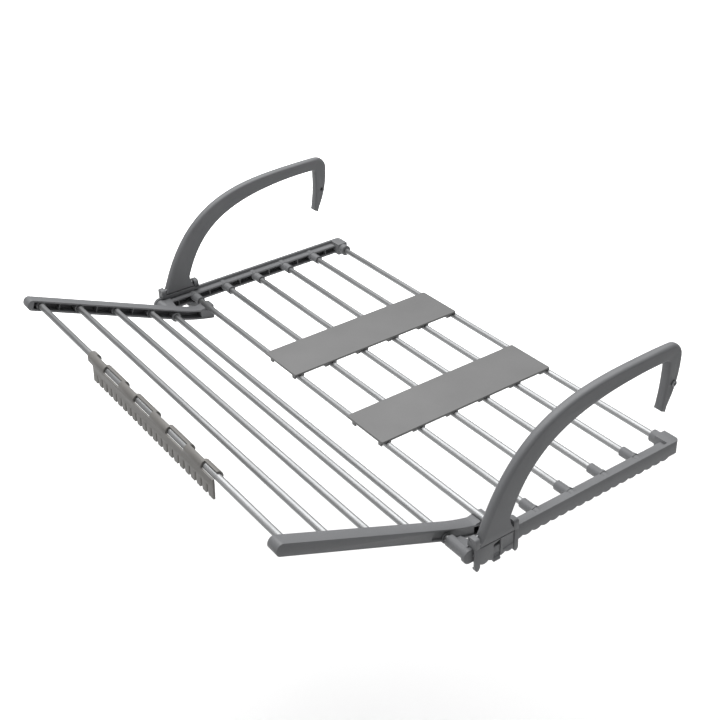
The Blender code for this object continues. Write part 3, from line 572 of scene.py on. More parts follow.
def side_rail(pitch, edge):
    middle, half = (RIB_TOP + RAIL_BOTTOM) / 2, (RIB_TOP - RAIL_BOTTOM) / 2
    collar_wall, collar_in, collar_out = 2.3 * MM, 2.4 * MM, 1.0 * MM
    overlap = (RIB_INNER + RAIL_OUTER) / 2
    outline = [(REAR_Y, RIB_TOP), (REAR_Y, RAIL_BOTTOM)]
    outline += scallops(FRONT_Y + NOSE_RADIUS, REAR_Y - CORNER_RADIUS, RAIL_BOTTOM, TOOTH_DEPTH, pitch)
    outline += arc((FRONT_Y, middle), half, 270, 90, 28)
    rail = drawn_solid(outline, "x", RIB_INNER, RAIL_OUTER)
    join(rail, block((RAIL_INNER, FRONT_Y, RAIL_TOP - FLANGE), (overlap, REAR_Y, RAIL_TOP)))
    join(rail, block((RAIL_INNER, FRONT_Y, RAIL_BOTTOM), (overlap, REAR_Y, RAIL_BOTTOM + FLANGE)))
    for number in range(2, TUBES):
        centre = tube_place(number)
        socket = drawn_solid(circle(centre, BORE_RADIUS + SOCKET_WALL, BOSS_FACETS), "x",
                             MOUTH_X, overlap)
        collar = drawn_solid(circle(centre, BORE_RADIUS + collar_wall, BOSS_FACETS), "x",
                             RAIL_INNER - collar_in, RAIL_INNER + collar_out)
        join(rail, socket, collar, stiffener(number, overlap))
    join(rail, stiffener(TUBES, overlap))
    nose = drawn_solid(circle((FRONT_Y, 0.0), NOSE_RADIUS, BOSS_FACETS), "x", MOUTH_X, overlap)
    join(rail, rear_block(), nose, front_cheek())
    for number in range(1, TUBES + 1):
        bore = circle(tube_place(number), BORE_RADIUS, BOSS_FACETS)
        cut(rail, drawn_solid(bore, "x", MOUTH_X - MM, overlap))
    return soften(rail, edge)


class RACK_OT_side_rails(bpy.types.Operator):
    """Mould the two side rails, with their sockets, teeth and closed ends"""
    bl_idname = "rack.side_rails"
    bl_label = "Side rails"

    def execute(self, context):
        sizes = context.scene.rack_sizes
        rail = side_rail(sizes.tooth_pitch, sizes.moulded_edge)
        both_sides(rail, "rail_moulding", frame_plastic(context), "frame", "side_rail")
        return {"FINISHED"}


# ---------------------------------------------------------------- carriages

EAR = 6.4 * MM                  # each ear, along the rail
DECK_LOW = RIB_TOP + GAP
DECK_TOP = DECK_LOW + 3.0 * MM
DECK_INNER = CAR_LOW.x + 9.3 * MM
SPLIT = RIB_TOP + 1.2 * MM      # the arm's skirt ends here
WALL_TOP = SPLIT - 1.1 * MM
BASE_FRONT, BASE_REAR = CAR_LOW.y + EAR + GAP, CAR_HIGH.y - EAR - GAP
CAR_MIDDLE = (CAR_LOW.y + CAR_HIGH.y) / 2
SLOT_HALF = (LEVER_HIGH.y - LEVER_LOW.y) / 2 + GAP
LATCH_PIN = ((WALL_INNER + WALL_OUTER) / 2, LATCH_PIN_HEIGHT)


def carriage_wall():
    """The outer wall, from the ears' rounded toes to the scalloped edge between them."""
    front, rear = CAR_LOW.y, CAR_HIGH.y
    drop, toe = -19.0 * MM, 3 * MM
    outline = [(front, WALL_TOP), (rear, WALL_TOP), (rear, drop + toe)]
    outline += arc((rear - EAR / 2, drop + 2.2 * MM), 2.2 * MM, -20, -160, 8)
    outline += [(BASE_REAR, drop + 4.5 * MM)]
    outline += scallops(BASE_FRONT, BASE_REAR, TEETH_BOTTOM - 1.4 * MM, TOOTH_DEPTH, 11.2 * MM)
    outline += [(BASE_FRONT, drop + toe)]
    outline += arc((front + EAR / 2, drop + 1.4 * MM), 2.3 * MM, -20, -160, 8)
    outline += [(front, drop + toe)]
    return drawn_solid(outline, "x", WALL_INNER, WALL_OUTER)


def carriage_deck():
    deck = [(DECK_INNER, DECK_LOW), (WALL_INNER + MM, DECK_LOW), (WALL_INNER + MM, WALL_TOP - GAP / 2),
            (WALL_INNER, WALL_TOP), (WALL_INNER, DECK_TOP), (DECK_INNER, DECK_TOP)]
    return drawn_solid(deck, "y", CAR_LOW.y, CAR_HIGH.y)


def carriage_ear(front):
    """One of the two ears that hold the arm's pin, rounded more on its inner side."""
    outer_round, inner_round, top = 3.4 * MM, 4.4 * MM, CAR_HIGH.z
    ear = [(DECK_INNER, DECK_LOW), (WALL_OUTER, DECK_LOW)]
    ear += arc((WALL_OUTER - outer_round, top - outer_round), outer_round, 0, 90, 8)
    ear += arc((DECK_INNER + inner_round, top - inner_round), inner_round, 90, 180, 8)
    return drawn_solid(ear, "y", front, front + EAR)


def add_runners(body):
    """The upper runner behind the rail's rib, and the lower ones that hook under its flange."""
    shoe, window = 2.8 * MM, 7.5 * MM
    front = FRONT_Y + NOSE_RADIUS + 4 * GAP
    crest = BORE_RADIUS + 1.8 * MM
    upper = RIB_INNER - GAP
    join(body, block((upper - shoe, front, crest + GAP), (upper, CAR_HIGH.y, DECK_LOW + MM)))
    lip, lip_top = RAIL_INNER - GAP, RAIL_BOTTOM + FLANGE - GAP
    under = TEETH_BOTTOM - GAP
    runner = [(lip - shoe, under - shoe), (WALL_INNER + MM, under - shoe), (WALL_INNER + MM, under),
              (lip, under), (lip, lip_top), (lip - shoe, lip_top)]
    join(body, drawn_solid(runner, "y", front, CAR_MIDDLE - window))
    join(body, drawn_solid(runner, "y", CAR_MIDDLE + window, CAR_HIGH.y - EAR))


def cut_lever_slot(body):
    """The lever's slot, a little higher at its rear."""
    front, rear = CAR_MIDDLE - SLOT_HALF, CAR_MIDDLE + SLOT_HALF
    slot = [(front, CAR_LOW.z - MM), (rear, CAR_LOW.z - MM), (rear, 8.2 * MM), (front, 4.6 * MM)]
    cut(body, drawn_solid(slot, "x", WALL_INNER - MM, WALL_OUTER + MM))


def cut_outer_face(body):
    """The sunk panel beside the slot, the finger groove down the front and the rear ear's split line."""
    front, rear, top = CAR_MIDDLE + SLOT_HALF + 3.0 * MM, BASE_REAR + 1.0 * MM, WALL_TOP - 2.5 * MM
    panel = rounded_outline([(rear, top), (rear, -6.0 * MM), (front, -8.0 * MM), (front, top)], 1.2 * MM)
    cut(body, drawn_solid(panel, "x", WALL_OUTER - 0.5 * MM, WALL_OUTER + MM))
    groove_x, width, depth = WALL_INNER - 0.4 * MM, 2.2 * MM, 3.2 * MM
    for low, high in ((-15.5 * MM, -1.0 * MM), (2.2 * MM, 8.0 * MM)):
        cut(body, block((groove_x - MM, CAR_LOW.y - MM, low),
                        (groove_x + width, CAR_LOW.y + depth, high)))
    front, rear = CAR_HIGH.y - EAR - GAP, CAR_HIGH.y - EAR + 0.9 * MM
    line = [(front, CAR_LOW.z - MM), (rear, CAR_LOW.z - MM),
            (rear, WALL_TOP + MM), (front, WALL_TOP + MM)]
    cut(body, drawn_solid(line, "x", WALL_OUTER - 1.2 * MM, WALL_OUTER + MM))


def cut_pin_bores(body):
    beyond = 5 * MM
    front, rear = CAR_MIDDLE - SLOT_HALF - beyond, CAR_MIDDLE + SLOT_HALF + beyond
    cut(body, drawn_solid(circle(LATCH_PIN, LATCH_BORE, PIN_FACETS), "y", front, rear))
    hinge = circle(lengthwise("right_arm_pin"), HINGE_BORE, PIN_FACETS)
    cut(body, drawn_solid(hinge, "y", CAR_LOW.y - MM, CAR_HIGH.y + MM))


def carriage(edge):
    body = join(carriage_wall(), carriage_deck())
    for front in (CAR_LOW.y, CAR_HIGH.y - EAR):
        join(body, carriage_ear(front))
    add_runners(body)
    cut_lever_slot(body)
    cut_outer_face(body)
    cut_pin_bores(body)
    return soften(body, edge)


class RACK_OT_carriages(bpy.types.Operator):
    """Mould the two carriages that slide on the rails and carry the arms"""
    bl_idname = "rack.carriages"
    bl_label = "Carriages"

    def execute(self, context):
        body = carriage(0.7 * context.scene.rack_sizes.moulded_edge)
        both_sides(body, "carriage_moulding", frame_plastic(context), "carriage",
                   "carriage")
        return {"FINISHED"}


# ---------------------------------------------------------------- latch levers, pins and screws

def latch_lever(edge):
    """The thumb lever: a flat blade with a nib under the rail's teeth and a ribbed, turned-out tail."""
    inner = WALL_INNER + GAP
    outer = inner + 3.4 * MM
    top, tail = LEVER_HIGH.z, LEVER_LOW.z
    nib, nib_face, nib_root = TEETH_BOTTOM - GAP, 1.6 * MM, 4.1 * MM
    crown = 1.2 * MM
    section = [(inner, top), (inner, nib), (LEVER_LOW.x, nib), (LEVER_LOW.x, nib - nib_face),
               (inner, nib - nib_root), (inner, tail + 1.0 * MM)]
    section += [(outer + 1.0 * MM, tail), (outer + 1.6 * MM, tail + 2.0 * MM), (outer, tail + 6.0 * MM)]
    section += arc((outer - crown, top - crown), crown, 0, 90, 6)
    lever = drawn_solid(section, "y", LEVER_LOW.y, LEVER_HIGH.y)
    bore = circle(LATCH_PIN, LATCH_BORE, PIN_FACETS)
    cut(lever, drawn_solid(bore, "y", LEVER_LOW.y - MM, LEVER_HIGH.y + MM))
    grips, grip_depth, grip_width = 3, 0.35 * MM, 0.8 * MM
    for step in range(grips):
        height = tail + (5.4 + 1.9 * step) * MM
        cut(lever, block((outer - grip_depth, LEVER_LOW.y - MM, height),
                         (outer + 3.0 * MM, LEVER_HIGH.y + MM, height + grip_width)))
    return soften(lever, edge)


def bevelled_pin(node, along):
    """A plain steel pin with chamfered ends."""
    low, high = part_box(node)
    middle = (low + high) / 2
    radius = (high.z - low.z) / 2
    turn = {"x": (0.0, math.pi / 2, 0.0), "y": (math.pi / 2, 0.0, 0.0)}[along]
    length = high.x - low.x if along == "x" else high.y - low.y
    bpy.ops.object.select_all(action="DESELECT")
    bpy.ops.mesh.primitive_cylinder_add(vertices=PIN_FACETS, radius=radius, depth=length,
                                        location=middle, rotation=turn)
    bpy.ops.object.transform_apply(location=True, rotation=True, scale=True)
    return soften(bpy.context.object, 0.25 * radius)


def tip_screw():
    """Pan-head screw across the hook's tip, with a cross recess in its head."""
    low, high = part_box("right_tip_screw")
    centre = crosswise("right_tip_screw")
    head = (high.z - low.z) / 2
    shank = head / 2
    under = ARM_HIGH.x + GAP
    screw = drawn_solid(circle(centre, shank, PIN_FACETS), "x", low.x, under + 0.5 * MM)
    pan = drawn_solid(circle(centre, head, BOSS_FACETS), "x", under, high.x)
    pick_faces(pan, lambda middle, normal: normal.x > 0.9)
    bpy.ops.mesh.bevel(offset=0.9 * MM, segments=4, affect="EDGES")
    bpy.ops.object.mode_set(mode="OBJECT")
    join(screw, pan)
    reach, wide, deep = 0.62 * head, 0.28 * head, 1.0 * MM
    y, z = centre
    for across, tall in ((reach, wide), (wide, reach)):
        cut(screw, block((high.x - deep, y - across, z - tall), (high.x + MM, y + across, z + tall)))
    return soften(screw, 0.12 * MM)


class RACK_OT_small_parts(bpy.types.Operator):
    """Make the latch levers, the hinge pins and the screws in the hook tips"""
    bl_idname = "rack.small_parts"
    bl_label = "Latches, pins and screws"

    def execute(self, context):
        plastic, metal = frame_plastic(context), pin_metal(context)
        both_sides(latch_lever(0.3 * MM), "lever_moulding", plastic, "latch",
                   "latch_lever")
        both_sides(bevelled_pin("right_latch_pin", "y"), "latch_wire", metal, "carriage",
                   "latch_pin")
        both_sides(bevelled_pin("right_arm_pin", "y"), "arm_wire", metal, "carriage",
                   "arm_pin")
        both_sides(tip_screw(), "pan_screw", metal, "arm", "tip_screw")
        return {"FINISHED"}


# ---------------------------------------------------------------- hook arms

def curve_point(points, share):
    """The point at a share of the way along a cubic curve's parameter."""
    a, b, c, d = (Vector(point) for point in points)
    rest = 1.0 - share
    return a * rest ** 3 + b * 3 * rest * rest * share + c * 3 * rest * share * share + d * share ** 3


def arm_stations(steps):
    """Pairs of points, y and z, on the arm's back and underside, from its base to the hook's tip.
    The curves' handles stand at shares of the arm's reach and rise."""
    front, back, top = ARM_LOW.y, ARM_HIGH.y, ARM_HIGH.z
    reach = back - front
    base = DECK_TOP + GAP
    rise = top - base
    low, face, seat = top - 84.5 * MM, back - 20.5 * MM, top - 17.5 * MM
    heel, heel_z = BASE_REAR - 4.4 * MM, base + 17.0 * MM
    back_curve = [(front, base), (front + 0.167 * reach, base + 1.02 * rise),
                  (front + 0.509 * reach, base + 0.985 * rise), (back - 37.0 * MM, top)]
    under_curve = [(heel, heel_z), (front + 0.232 * reach, seat - 36.0 * MM),
                   (front + 0.387 * reach, seat - 4.6 * MM), (back - 53.0 * MM, seat)]
    # the underside starts with the ankle, so the back's first stretch takes as many steps
    first, starts = 0.034, 8
    outer = [curve_point(back_curve, first * step / starts) for step in range(starts)]
    outer += [curve_point(back_curve, first + (1.0 - first) * step / steps) for step in range(steps + 1)]
    ankle = [(BASE_REAR, base), (BASE_REAR, heel_z - 14.0 * MM),
             (heel, heel_z - 10.0 * MM), (heel, heel_z)]
    inner = [curve_point(ankle, step / starts) for step in range(starts)]
    inner += [curve_point(under_curve, step / steps) for step in range(steps + 1)]
    bend, corner, turns = 18.0 * MM, 4.0 * MM, 16
    outer += arc((back - bend, top - bend), bend, 90, 0, turns)
    inner += arc((face - corner, seat - corner), corner, 90, 0, turns)
    tip_outer = [(back, top - bend), (back - 0.5 * MM, top - 53.0 * MM),
                 (back - 12.0 * MM, low + 12.0 * MM), (back - 18.5 * MM, low + 0.5 * MM)]
    tip_inner = [(face, seat - corner), (face, top - 60.0 * MM),
                 (back - 24.5 * MM, low + 17.0 * MM), (back - 25.5 * MM, low + 4.0 * MM)]
    last = 14
    outer += [curve_point(tip_outer, step / last) for step in range(1, last + 1)]
    inner += [curve_point(tip_inner, step / last) for step in range(1, last + 1)]
    return [(Vector(a), Vector(b)) for a, b in zip(outer, inner)]


def arm_section(outer, inner, share, back_round=5.0 * MM, under_round=2.4 * MM):
    """A ring across the arm: round along its back, less so along its underside."""
    depth = (inner - outer).length
    half = (ARM_HIGH.x - ARM_LOW.x) / 2
    middle = (ARM_HIGH.x + ARM_LOW.x) / 2
    big = min(back_round * share, depth / 2.2)
    small = min(under_round * share, depth / 3)
    corners = [(-half + big, big, big, 180, 270, 7), (half - big, big, big, 270, 360, 7),
               (half - small, depth - small, small, 0, 90, 5),
               (-half + small, depth - small, small, 90, 180, 5)]
    ring = []
    for across, down, radius, start, end, steps in corners:
        for x, drop in arc((across, down), radius, start, end, steps):
            point = outer + (inner - outer) * (drop / depth)
            ring.append(Vector((middle + x, point.x, point.y)))
    return ring


def extruded_through(rings):
    """A first ring, filled, then extruded and shaped once for every ring that follows."""
    bpy.ops.object.select_all(action="DESELECT")
    bpy.ops.mesh.primitive_circle_add(vertices=len(rings[0]), radius=1.0, fill_type="NGON")
    piece = bpy.context.object
    for vertex, point in zip(piece.data.vertices, rings[0]):
        vertex.co = point
    for ring in rings[1:]:
        bpy.ops.object.mode_set(mode="EDIT")
        bpy.ops.mesh.extrude_region_move(TRANSFORM_OT_translate={"value": (0.0, 0.0, 0.0)})
        bpy.ops.object.mode_set(mode="OBJECT")
        face = [f for f in piece.data.polygons if f.select][0]
        for vertex, point in zip(face.vertices, ring):
            piece.data.vertices[vertex].co = point
    only(piece)
    bpy.ops.object.mode_set(mode="EDIT")
    bpy.ops.mesh.select_all(action="SELECT")
    bpy.ops.mesh.normals_make_consistent(inside=False)
    bpy.ops.object.mode_set(mode="OBJECT")
    return piece


def arm_rings(steps):
    """The arm's sections: their corners grow round over the first stations and tighten over the last."""
    growth = [0.1, 0.3, 0.5, 0.65, 0.78, 0.88, 0.95]
    ending = [0.9, 0.65, 0.35]
    stations = arm_stations(steps)
    shares = growth + [1.0] * (len(stations) - len(growth) - len(ending)) + ending
    return [arm_section(outer, inner, share) for (outer, inner), share in zip(stations, shares)]


def hinge_relief(hinge, base):
    """What is cut from the arm's foot so that it can turn about the hinge, inwards over the deck."""
    turn, below = hinge[1] - base, 2 * MM
    relief = [(hinge[0] - 2 * turn, hinge[1])] + arc(hinge, turn, 180, 270, 16)
    relief += [(hinge[0], base - below), (hinge[0] - 2 * turn, base - below)]
    return drawn_solid(relief, "y", BASE_FRONT - MM, BASE_REAR + MM)


def hook_arm(steps, edge):
    arm = extruded_through(arm_rings(steps))
    base, foot = DECK_TOP + GAP, 2.0 * MM
    join(arm, block((WALL_INNER + GAP, BASE_FRONT, SPLIT), (ARM_HIGH.x, BASE_REAR, base + foot)))
    hinge = lengthwise("right_arm_pin")
    cut(arm, hinge_relief(hinge, base))
    cut(arm, drawn_solid(circle(hinge, HINGE_BORE, PIN_FACETS), "y", BASE_FRONT - MM, BASE_REAR + MM))
    screw = crosswise("right_tip_screw")
    bore, sink, sink_depth = 2.1 * MM, 3.0 * MM, 1.6 * MM
    cut(arm, drawn_solid(circle(screw, bore, PIN_FACETS), "x", ARM_LOW.x - MM, ARM_HIGH.x + MM))
    cut(arm, drawn_solid(circle(screw, sink, PIN_FACETS), "x", ARM_LOW.x - MM, ARM_LOW.x + sink_depth))
    return soften(arm, edge, angle=50.0)


class RACK_OT_hook_arms(bpy.types.Operator):
    """Sweep the two bowed arms from their bases to their hooks"""
    bl_idname = "rack.hook_arms"
    bl_label = "Hook arms"

    def execute(self, context):
        arm = hook_arm(context.scene.rack_sizes.arm_steps, 0.25 * MM)
        both_sides(arm, "arm_moulding", frame_plastic(context), "arm", "hook_arm")
        return {"FINISHED"}


# ---------------------------------------------------------------- wing rails

WING_OUT = Vector(wing_place(1)) - Vector(wing_place(WING_TUBES))
WING_DIRECTION = WING_OUT.normalized()
WING_NORMAL = Vector((-WING_DIRECTION.y, WING_DIRECTION.x)) * -1
WING_SLOPE = math.atan2(WING_DIRECTION.y, -WING_DIRECTION.x)
WING_HALF = 7.0 * MM            # half the rail's height
WING_WEB, WING_WALL = 3.0 * MM, 2.0 * MM
WING_INSET = 0.6 * MM           # of the hinge's boss and the toe, from the rail's faces


def wing_centre_line(steps):
    """The rail's centre line, y and z: straight from its outer tip to the knee before the hinge,
    then easing off in short steps to its toe under the next tube."""
    point = Vector(wing_place(WING_TUBES)) - WING_DIRECTION * 40.6 * MM
    line = [Vector(wing_place(1)) + WING_DIRECTION * 12.5 * MM, point.copy()]
    length = TUBE_PITCH + 9.5 * MM
    ease = math.radians(13.0)
    for step in range(steps):
        angle = WING_SLOPE - ease * (step + 0.5) / steps
        point += Vector((math.cos(angle), -math.sin(angle))) * (length / steps)
        line.append(point.copy())
    return line


def band(line, half):
    """The two edges of a strip of even width about a centre line."""
    upper, lower = [], []
    for number, point in enumerate(line):
        before, after = line[max(number - 1, 0)], line[min(number + 1, len(line) - 1)]
        direction = (after - before).normalized()
        normal = Vector((-direction.y, direction.x))
        upper.append(point + normal * half)
        lower.append(point - normal * half)
    return upper, lower


def closed(upper, lower):
    """One outline from a strip's two edges."""
    return [tuple(p) for p in upper] + [tuple(p) for p in reversed(lower)]


def wing_nose(tip, edge_point):
    """The rail's outer end, y and z: a half round, flattened a little along the rail."""
    start = math.degrees(math.atan2(edge_point.y - tip.y, edge_point.x - tip.x))
    nose = []
    for y, z in arc(tip, WING_HALF, start + 12, start + 168, 12):
        away = Vector((y - tip.x, z - tip.y))
        nose.append(tuple(tip + away.project(WING_NORMAL)
                          + WING_DIRECTION * (away.dot(WING_DIRECTION) * 0.8)))
    return nose


def wing_channel(line):
    """The hollow inside the rail, open towards the middle of the rack."""
    inner = [line[0] + (line[1] - line[0]).normalized() * WING_WALL] + line[1:]
    inner[-1] = line[-1] + (line[-2] - line[-1]).normalized() * WING_WALL
    top, bottom = band(inner, WING_HALF - WING_WALL)
    return drawn_solid(closed(top, bottom), "x", WING_LOW.x - MM, WING_HIGH.x - WING_WEB)


def wing_stiffener(number):
    """A thin wall across the channel, halfway to the next tube."""
    middle = (Vector(wing_place(number)) + Vector(wing_place(number + 1))) / 2
    across, thin = WING_NORMAL * (WING_HALF - MM), WING_DIRECTION * 0.6 * MM
    rib = [middle + across + thin, middle + across - thin, middle - across - thin, middle - across + thin]
    return drawn_solid([tuple(p) for p in rib], "x", WING_LOW.x + 4.0 * MM, WING_HIGH.x - WING_WEB / 2)


def outer_pocket(line):
    """The shallow pocket in the rail's outer face, along its bent stretch."""
    knee = [line[1] + WING_DIRECTION * 22 * MM] + line[1:-3]
    pocket = rounded_outline(closed(*band(knee, WING_HALF - WING_WALL)), 2.0 * MM)
    return drawn_solid(pocket, "x", WING_HIGH.x - WING_WEB + 0.8 * MM, WING_HIGH.x + MM)


def wing_toe(end, rest):
    """The toe that reaches under the next tube and a little way up behind it."""
    front, low = rest - 12.0 * MM, end.y - WING_HALF + 0.6 * MM
    toe = [(front, low + 3.4 * MM), (end.x - 0.8 * MM, low + 0.8 * MM), (end.x + 0.6 * MM, 0.0),
           (rest + BORE_RADIUS, 1.0 * MM), (front, -2.0 * MM)]
    return drawn_solid(toe, "x", WING_LOW.x + WING_INSET, WING_HIGH.x - WING_INSET)


def tube_saddle(rest):
    """The room for the tube that the toe rests under, open at the top."""
    saddle = arc((rest, 0.0), BORE_RADIUS, 180, 360, 24)
    saddle += [(rest + BORE_RADIUS, 12.0 * MM), (rest - BORE_RADIUS, 12.0 * MM)]
    return drawn_solid(saddle, "x", WING_LOW.x - MM, WING_HIGH.x + MM)


def wing_rail(edge):
    inner_x, outer_x = WING_LOW.x, WING_HIGH.x
    floor = outer_x - WING_WEB / 2
    line = wing_centre_line(14)
    upper, lower = band(line, WING_HALF)
    nose = wing_nose(line[0], upper[0])
    rail = drawn_solid(closed(upper, lower) + list(reversed(nose)), "x", inner_x, outer_x)
    cut(rail, wing_channel(line))
    for number in range(1, WING_TUBES + 1):
        socket = circle(wing_place(number), BORE_RADIUS + SOCKET_WALL, BOSS_FACETS)
        join(rail, drawn_solid(socket, "x", inner_x + 1.5 * MM, floor))
        if number < WING_TUBES:
            join(rail, wing_stiffener(number))
    hinge = (FRONT_Y, 0.0)
    cut(rail, outer_pocket(line))
    boss = circle(hinge, BORE_RADIUS + 2.4 * MM, BOSS_FACETS)
    join(rail, drawn_solid(boss, "x", inner_x + WING_INSET, outer_x - WING_INSET))
    for number in range(1, WING_TUBES + 1):
        bore = circle(wing_place(number), BORE_RADIUS, BOSS_FACETS)
        cut(rail, drawn_solid(bore, "x", inner_x - MM, floor))
    cut(rail, drawn_solid(circle(hinge, BORE_RADIUS, BOSS_FACETS), "x", inner_x - MM, outer_x + MM))
    rest = FRONT_Y + TUBE_PITCH
    join(rail, wing_toe(line[-1], rest))
    cut(rail, tube_saddle(rest))
    return soften(rail, edge)


class RACK_OT_wing_rails(bpy.types.Operator):
    """Mould the two bent rails of the folding wing"""
    bl_idname = "rack.wing_rails"
    bl_label = "Wing rails"

    def execute(self, context):
        rail = wing_rail(context.scene.rack_sizes.moulded_edge)
        both_sides(rail, "wing_moulding", frame_plastic(context), "wing", "wing_rail")
        return {"FINISHED"}


# ---------------------------------------------------------------- sock comb

def comb_section(y, z):
    """Closed outline: a clip over the tube, and a blade that hangs from its front."""
    inner = BORE_RADIUS
    outer = inner + 2.2 * MM
    knee, drop, lean = 8.0 * MM, 25.0 * MM, 1.2 * MM
    path = arc((y, z), outer, -20, 180, 30)
    path += [(y - outer, z - knee), (y - outer - lean, z - drop), (y - inner - lean, z - drop),
             (y - inner, z - knee)]
    path += arc((y, z), inner, 180, -20, 30)
    return path


def rounded_window(start, end, low, high, radius):
    return rounded_outline([(start, low), (end, low), (end, high), (start, high)], radius)


def cut_comb_windows(comb, left, y, z):
    """Four windows in the clip's front, and the strips between them cut from its back."""
    reach = BORE_RADIUS + 3.2 * MM
    pitch, window, first, land = 77.0 * MM, 40.0 * MM, 42.5 * MM, 3.0 * MM
    top = z + reach + MM
    before = left + 11.0 * MM
    for clip in range(4):
        start = left + first + pitch * clip
        opening = rounded_window(start, start + window, z - 1.0 * MM, top, 2.0 * MM)
        cut(comb, drawn_solid(opening, "y", y - reach - MM, y - 0.5 * MM))
        strip = rounded_window(before, start - land, z - reach, top, 1.5 * MM)
        cut(comb, drawn_solid(strip, "y", y + 0.8 * MM, y + reach + MM))
        before = start + window + land


def comb_notch(end, tooth_start, bottom, z):
    """What is cut away under the comb's tab, beside the first tooth."""
    corner = 1.5 * MM
    notch = [(end, bottom - MM), (tooth_start, bottom - MM)]
    notch += arc((tooth_start - corner, z - 6.0 * MM), corner, 0, 90, 5) + [(end, z - 4.5 * MM)]
    return notch


def comb_spikes(left, right, tooth_start, bottom):
    """One cutter for all the slots: a bar under the comb with a spike for each of them."""
    teeth, beyond = 23, 5.0 * MM
    spacing = (right - tooth_start) / teeth
    bar_low, bar_high = bottom - 6.0 * MM, bottom - 2.0 * MM
    flare = ((-3.0, -2.0), (-1.7, 3.5), (-0.9, 12.0), (0.0, 13.0), (0.9, 12.0), (1.7, 3.5), (3.0, -2.0))
    spikes = [(left - beyond, bar_low), (left - beyond, bar_high)]
    for slot in range(1, teeth):
        middle = tooth_start + spacing * slot
        spikes += [(middle + across * MM, bottom + up * MM) for across, up in flare]
    return spikes + [(right + beyond, bar_high), (right + beyond, bar_low)]


def sock_comb(edge):
    y, z = wing_place(1)
    low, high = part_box("sock_comb")
    comb = drawn_solid(comb_section(y, z), "x", low.x, high.x)
    cut_comb_windows(comb, low.x, y, z)
    tooth_start, through = low.x + 12.0 * MM, 20 * MM
    notch = comb_notch(low.x - 3.0 * MM, tooth_start, low.z, z)
    cut(comb, drawn_solid(notch, "y", y - through, y + through))
    spikes = comb_spikes(low.x, high.x, tooth_start, low.z)
    cut(comb, drawn_solid(spikes, "y", y - through, y + through))
    return soften(comb, edge)


class RACK_OT_sock_comb(bpy.types.Operator):
    """Mould the sock comb that clips on the wing's outer tube"""
    bl_idname = "rack.sock_comb"
    bl_label = "Sock comb"

    def execute(self, context):
        comb = sock_comb(0.3 * MM)
        complete(comb, "comb_moulding", comb_plastic(context), "comb", ["sock_comb"])
        return {"FINISHED"}


# ---------------------------------------------------------------- shelf plates

def clip_rib(front, low):
    """Side view of a rib under a plate, y and z: an open clip round each tube it crosses."""
    drop, inset, finger = -3.0 * MM, 3 * MM, 9.0 * MM
    opening = math.degrees(math.asin(-drop / BORE_RADIUS))
    rib = [(front + inset, low + MM), (front + inset, drop)]
    for number in range(TUBES - 1, 1, -1):
        centre = tube_place(number)[0]
        rib += arc((centre, 0.0), BORE_RADIUS, 180 + opening, -opening, 24)
        ahead = centre + TUBE_PITCH - finger
        rib += [(centre + finger, drop), (centre + finger, low - MM), (ahead, low - MM), (ahead, drop)]
    rib += arc((REAR_Y, 0.0), BORE_RADIUS, 180 + opening, 90, 14)
    rib += [(REAR_Y, low + MM)]
    return rib


def shelf_plate(node, edge):
    low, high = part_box(node)
    thickness, from_middle, half = 3.0 * MM, 26.0 * MM, 3.0 * MM
    underside = high.z - thickness
    corners = [(low.x, low.y), (high.x, low.y), (high.x, high.y), (low.x, high.y)]
    plate = drawn_solid(rounded_outline(corners, 2.5 * MM, 6), "z", underside, high.z)
    soften(plate, edge, segments=3, angle=50.0)
    middle = (low.x + high.x) / 2
    rib = clip_rib(low.y, underside)
    for side in (-1, 1):
        centre = middle + side * from_middle
        clip = drawn_solid(rib, "x", centre - half, centre + half)
        join(plate, soften(clip, 0.2 * MM, angle=50.0))
    return plate


class RACK_OT_shelf_plates(bpy.types.Operator):
    """Mould the two shelf plates that clip across the tubes"""
    bl_idname = "rack.shelf_plates"
    bl_label = "Shelf plates"

    def execute(self, context):
        for side in SIDES:
            plate = shelf_plate(f"{side}_shelf_plate", context.scene.rack_sizes.plate_edge)
            complete(plate, f"{side}_plate_moulding", plate_plastic(context), f"{side}_plate",
                     [f"{side}_shelf_plate"])
        return {"FINISHED"}


# ---------------------------------------------------------------- stage

def soft_light(name, spot, aim, size, power):
    """A rectangular area light at a spot, facing its aim; metres and watts."""
    data = bpy.data.lights.new(name, "AREA")
    data.shape = "RECTANGLE"
    data.size, data.size_y = size
    data.energy = power
    lamp = bpy.data.objects.new(name, data)
    bpy.context.collection.objects.link(lamp)
    lamp.location = spot
    lamp.rotation_mode = "QUATERNION"
    lamp.rotation_quaternion = (Vector(aim) - Vector(spot)).to_track_quat("-Z", "Y")


def studio_camera():
    """A camera at the front right, held almost level and looking down on the rack."""
    spot = (1.0322, -0.9027, 0.7963)
    looking = (-0.70416, 0.47898, -0.52416)
    roll = -2.40                # degrees, about the way it looks
    data = bpy.data.cameras.new("Studio camera")
    data.lens, data.sensor_width = 59.04, 36.0
    data.clip_end = 50.0
    camera = bpy.data.objects.new("Studio camera", data)
    bpy.context.collection.objects.link(camera)
    camera.location = spot
    camera.rotation_mode = "QUATERNION"
    ahead = Vector(looking).to_track_quat("-Z", "Y")
    camera.rotation_quaternion = ahead @ Quaternion((0.0, 0.0, 1.0), math.radians(roll))
    bpy.context.scene.camera = camera


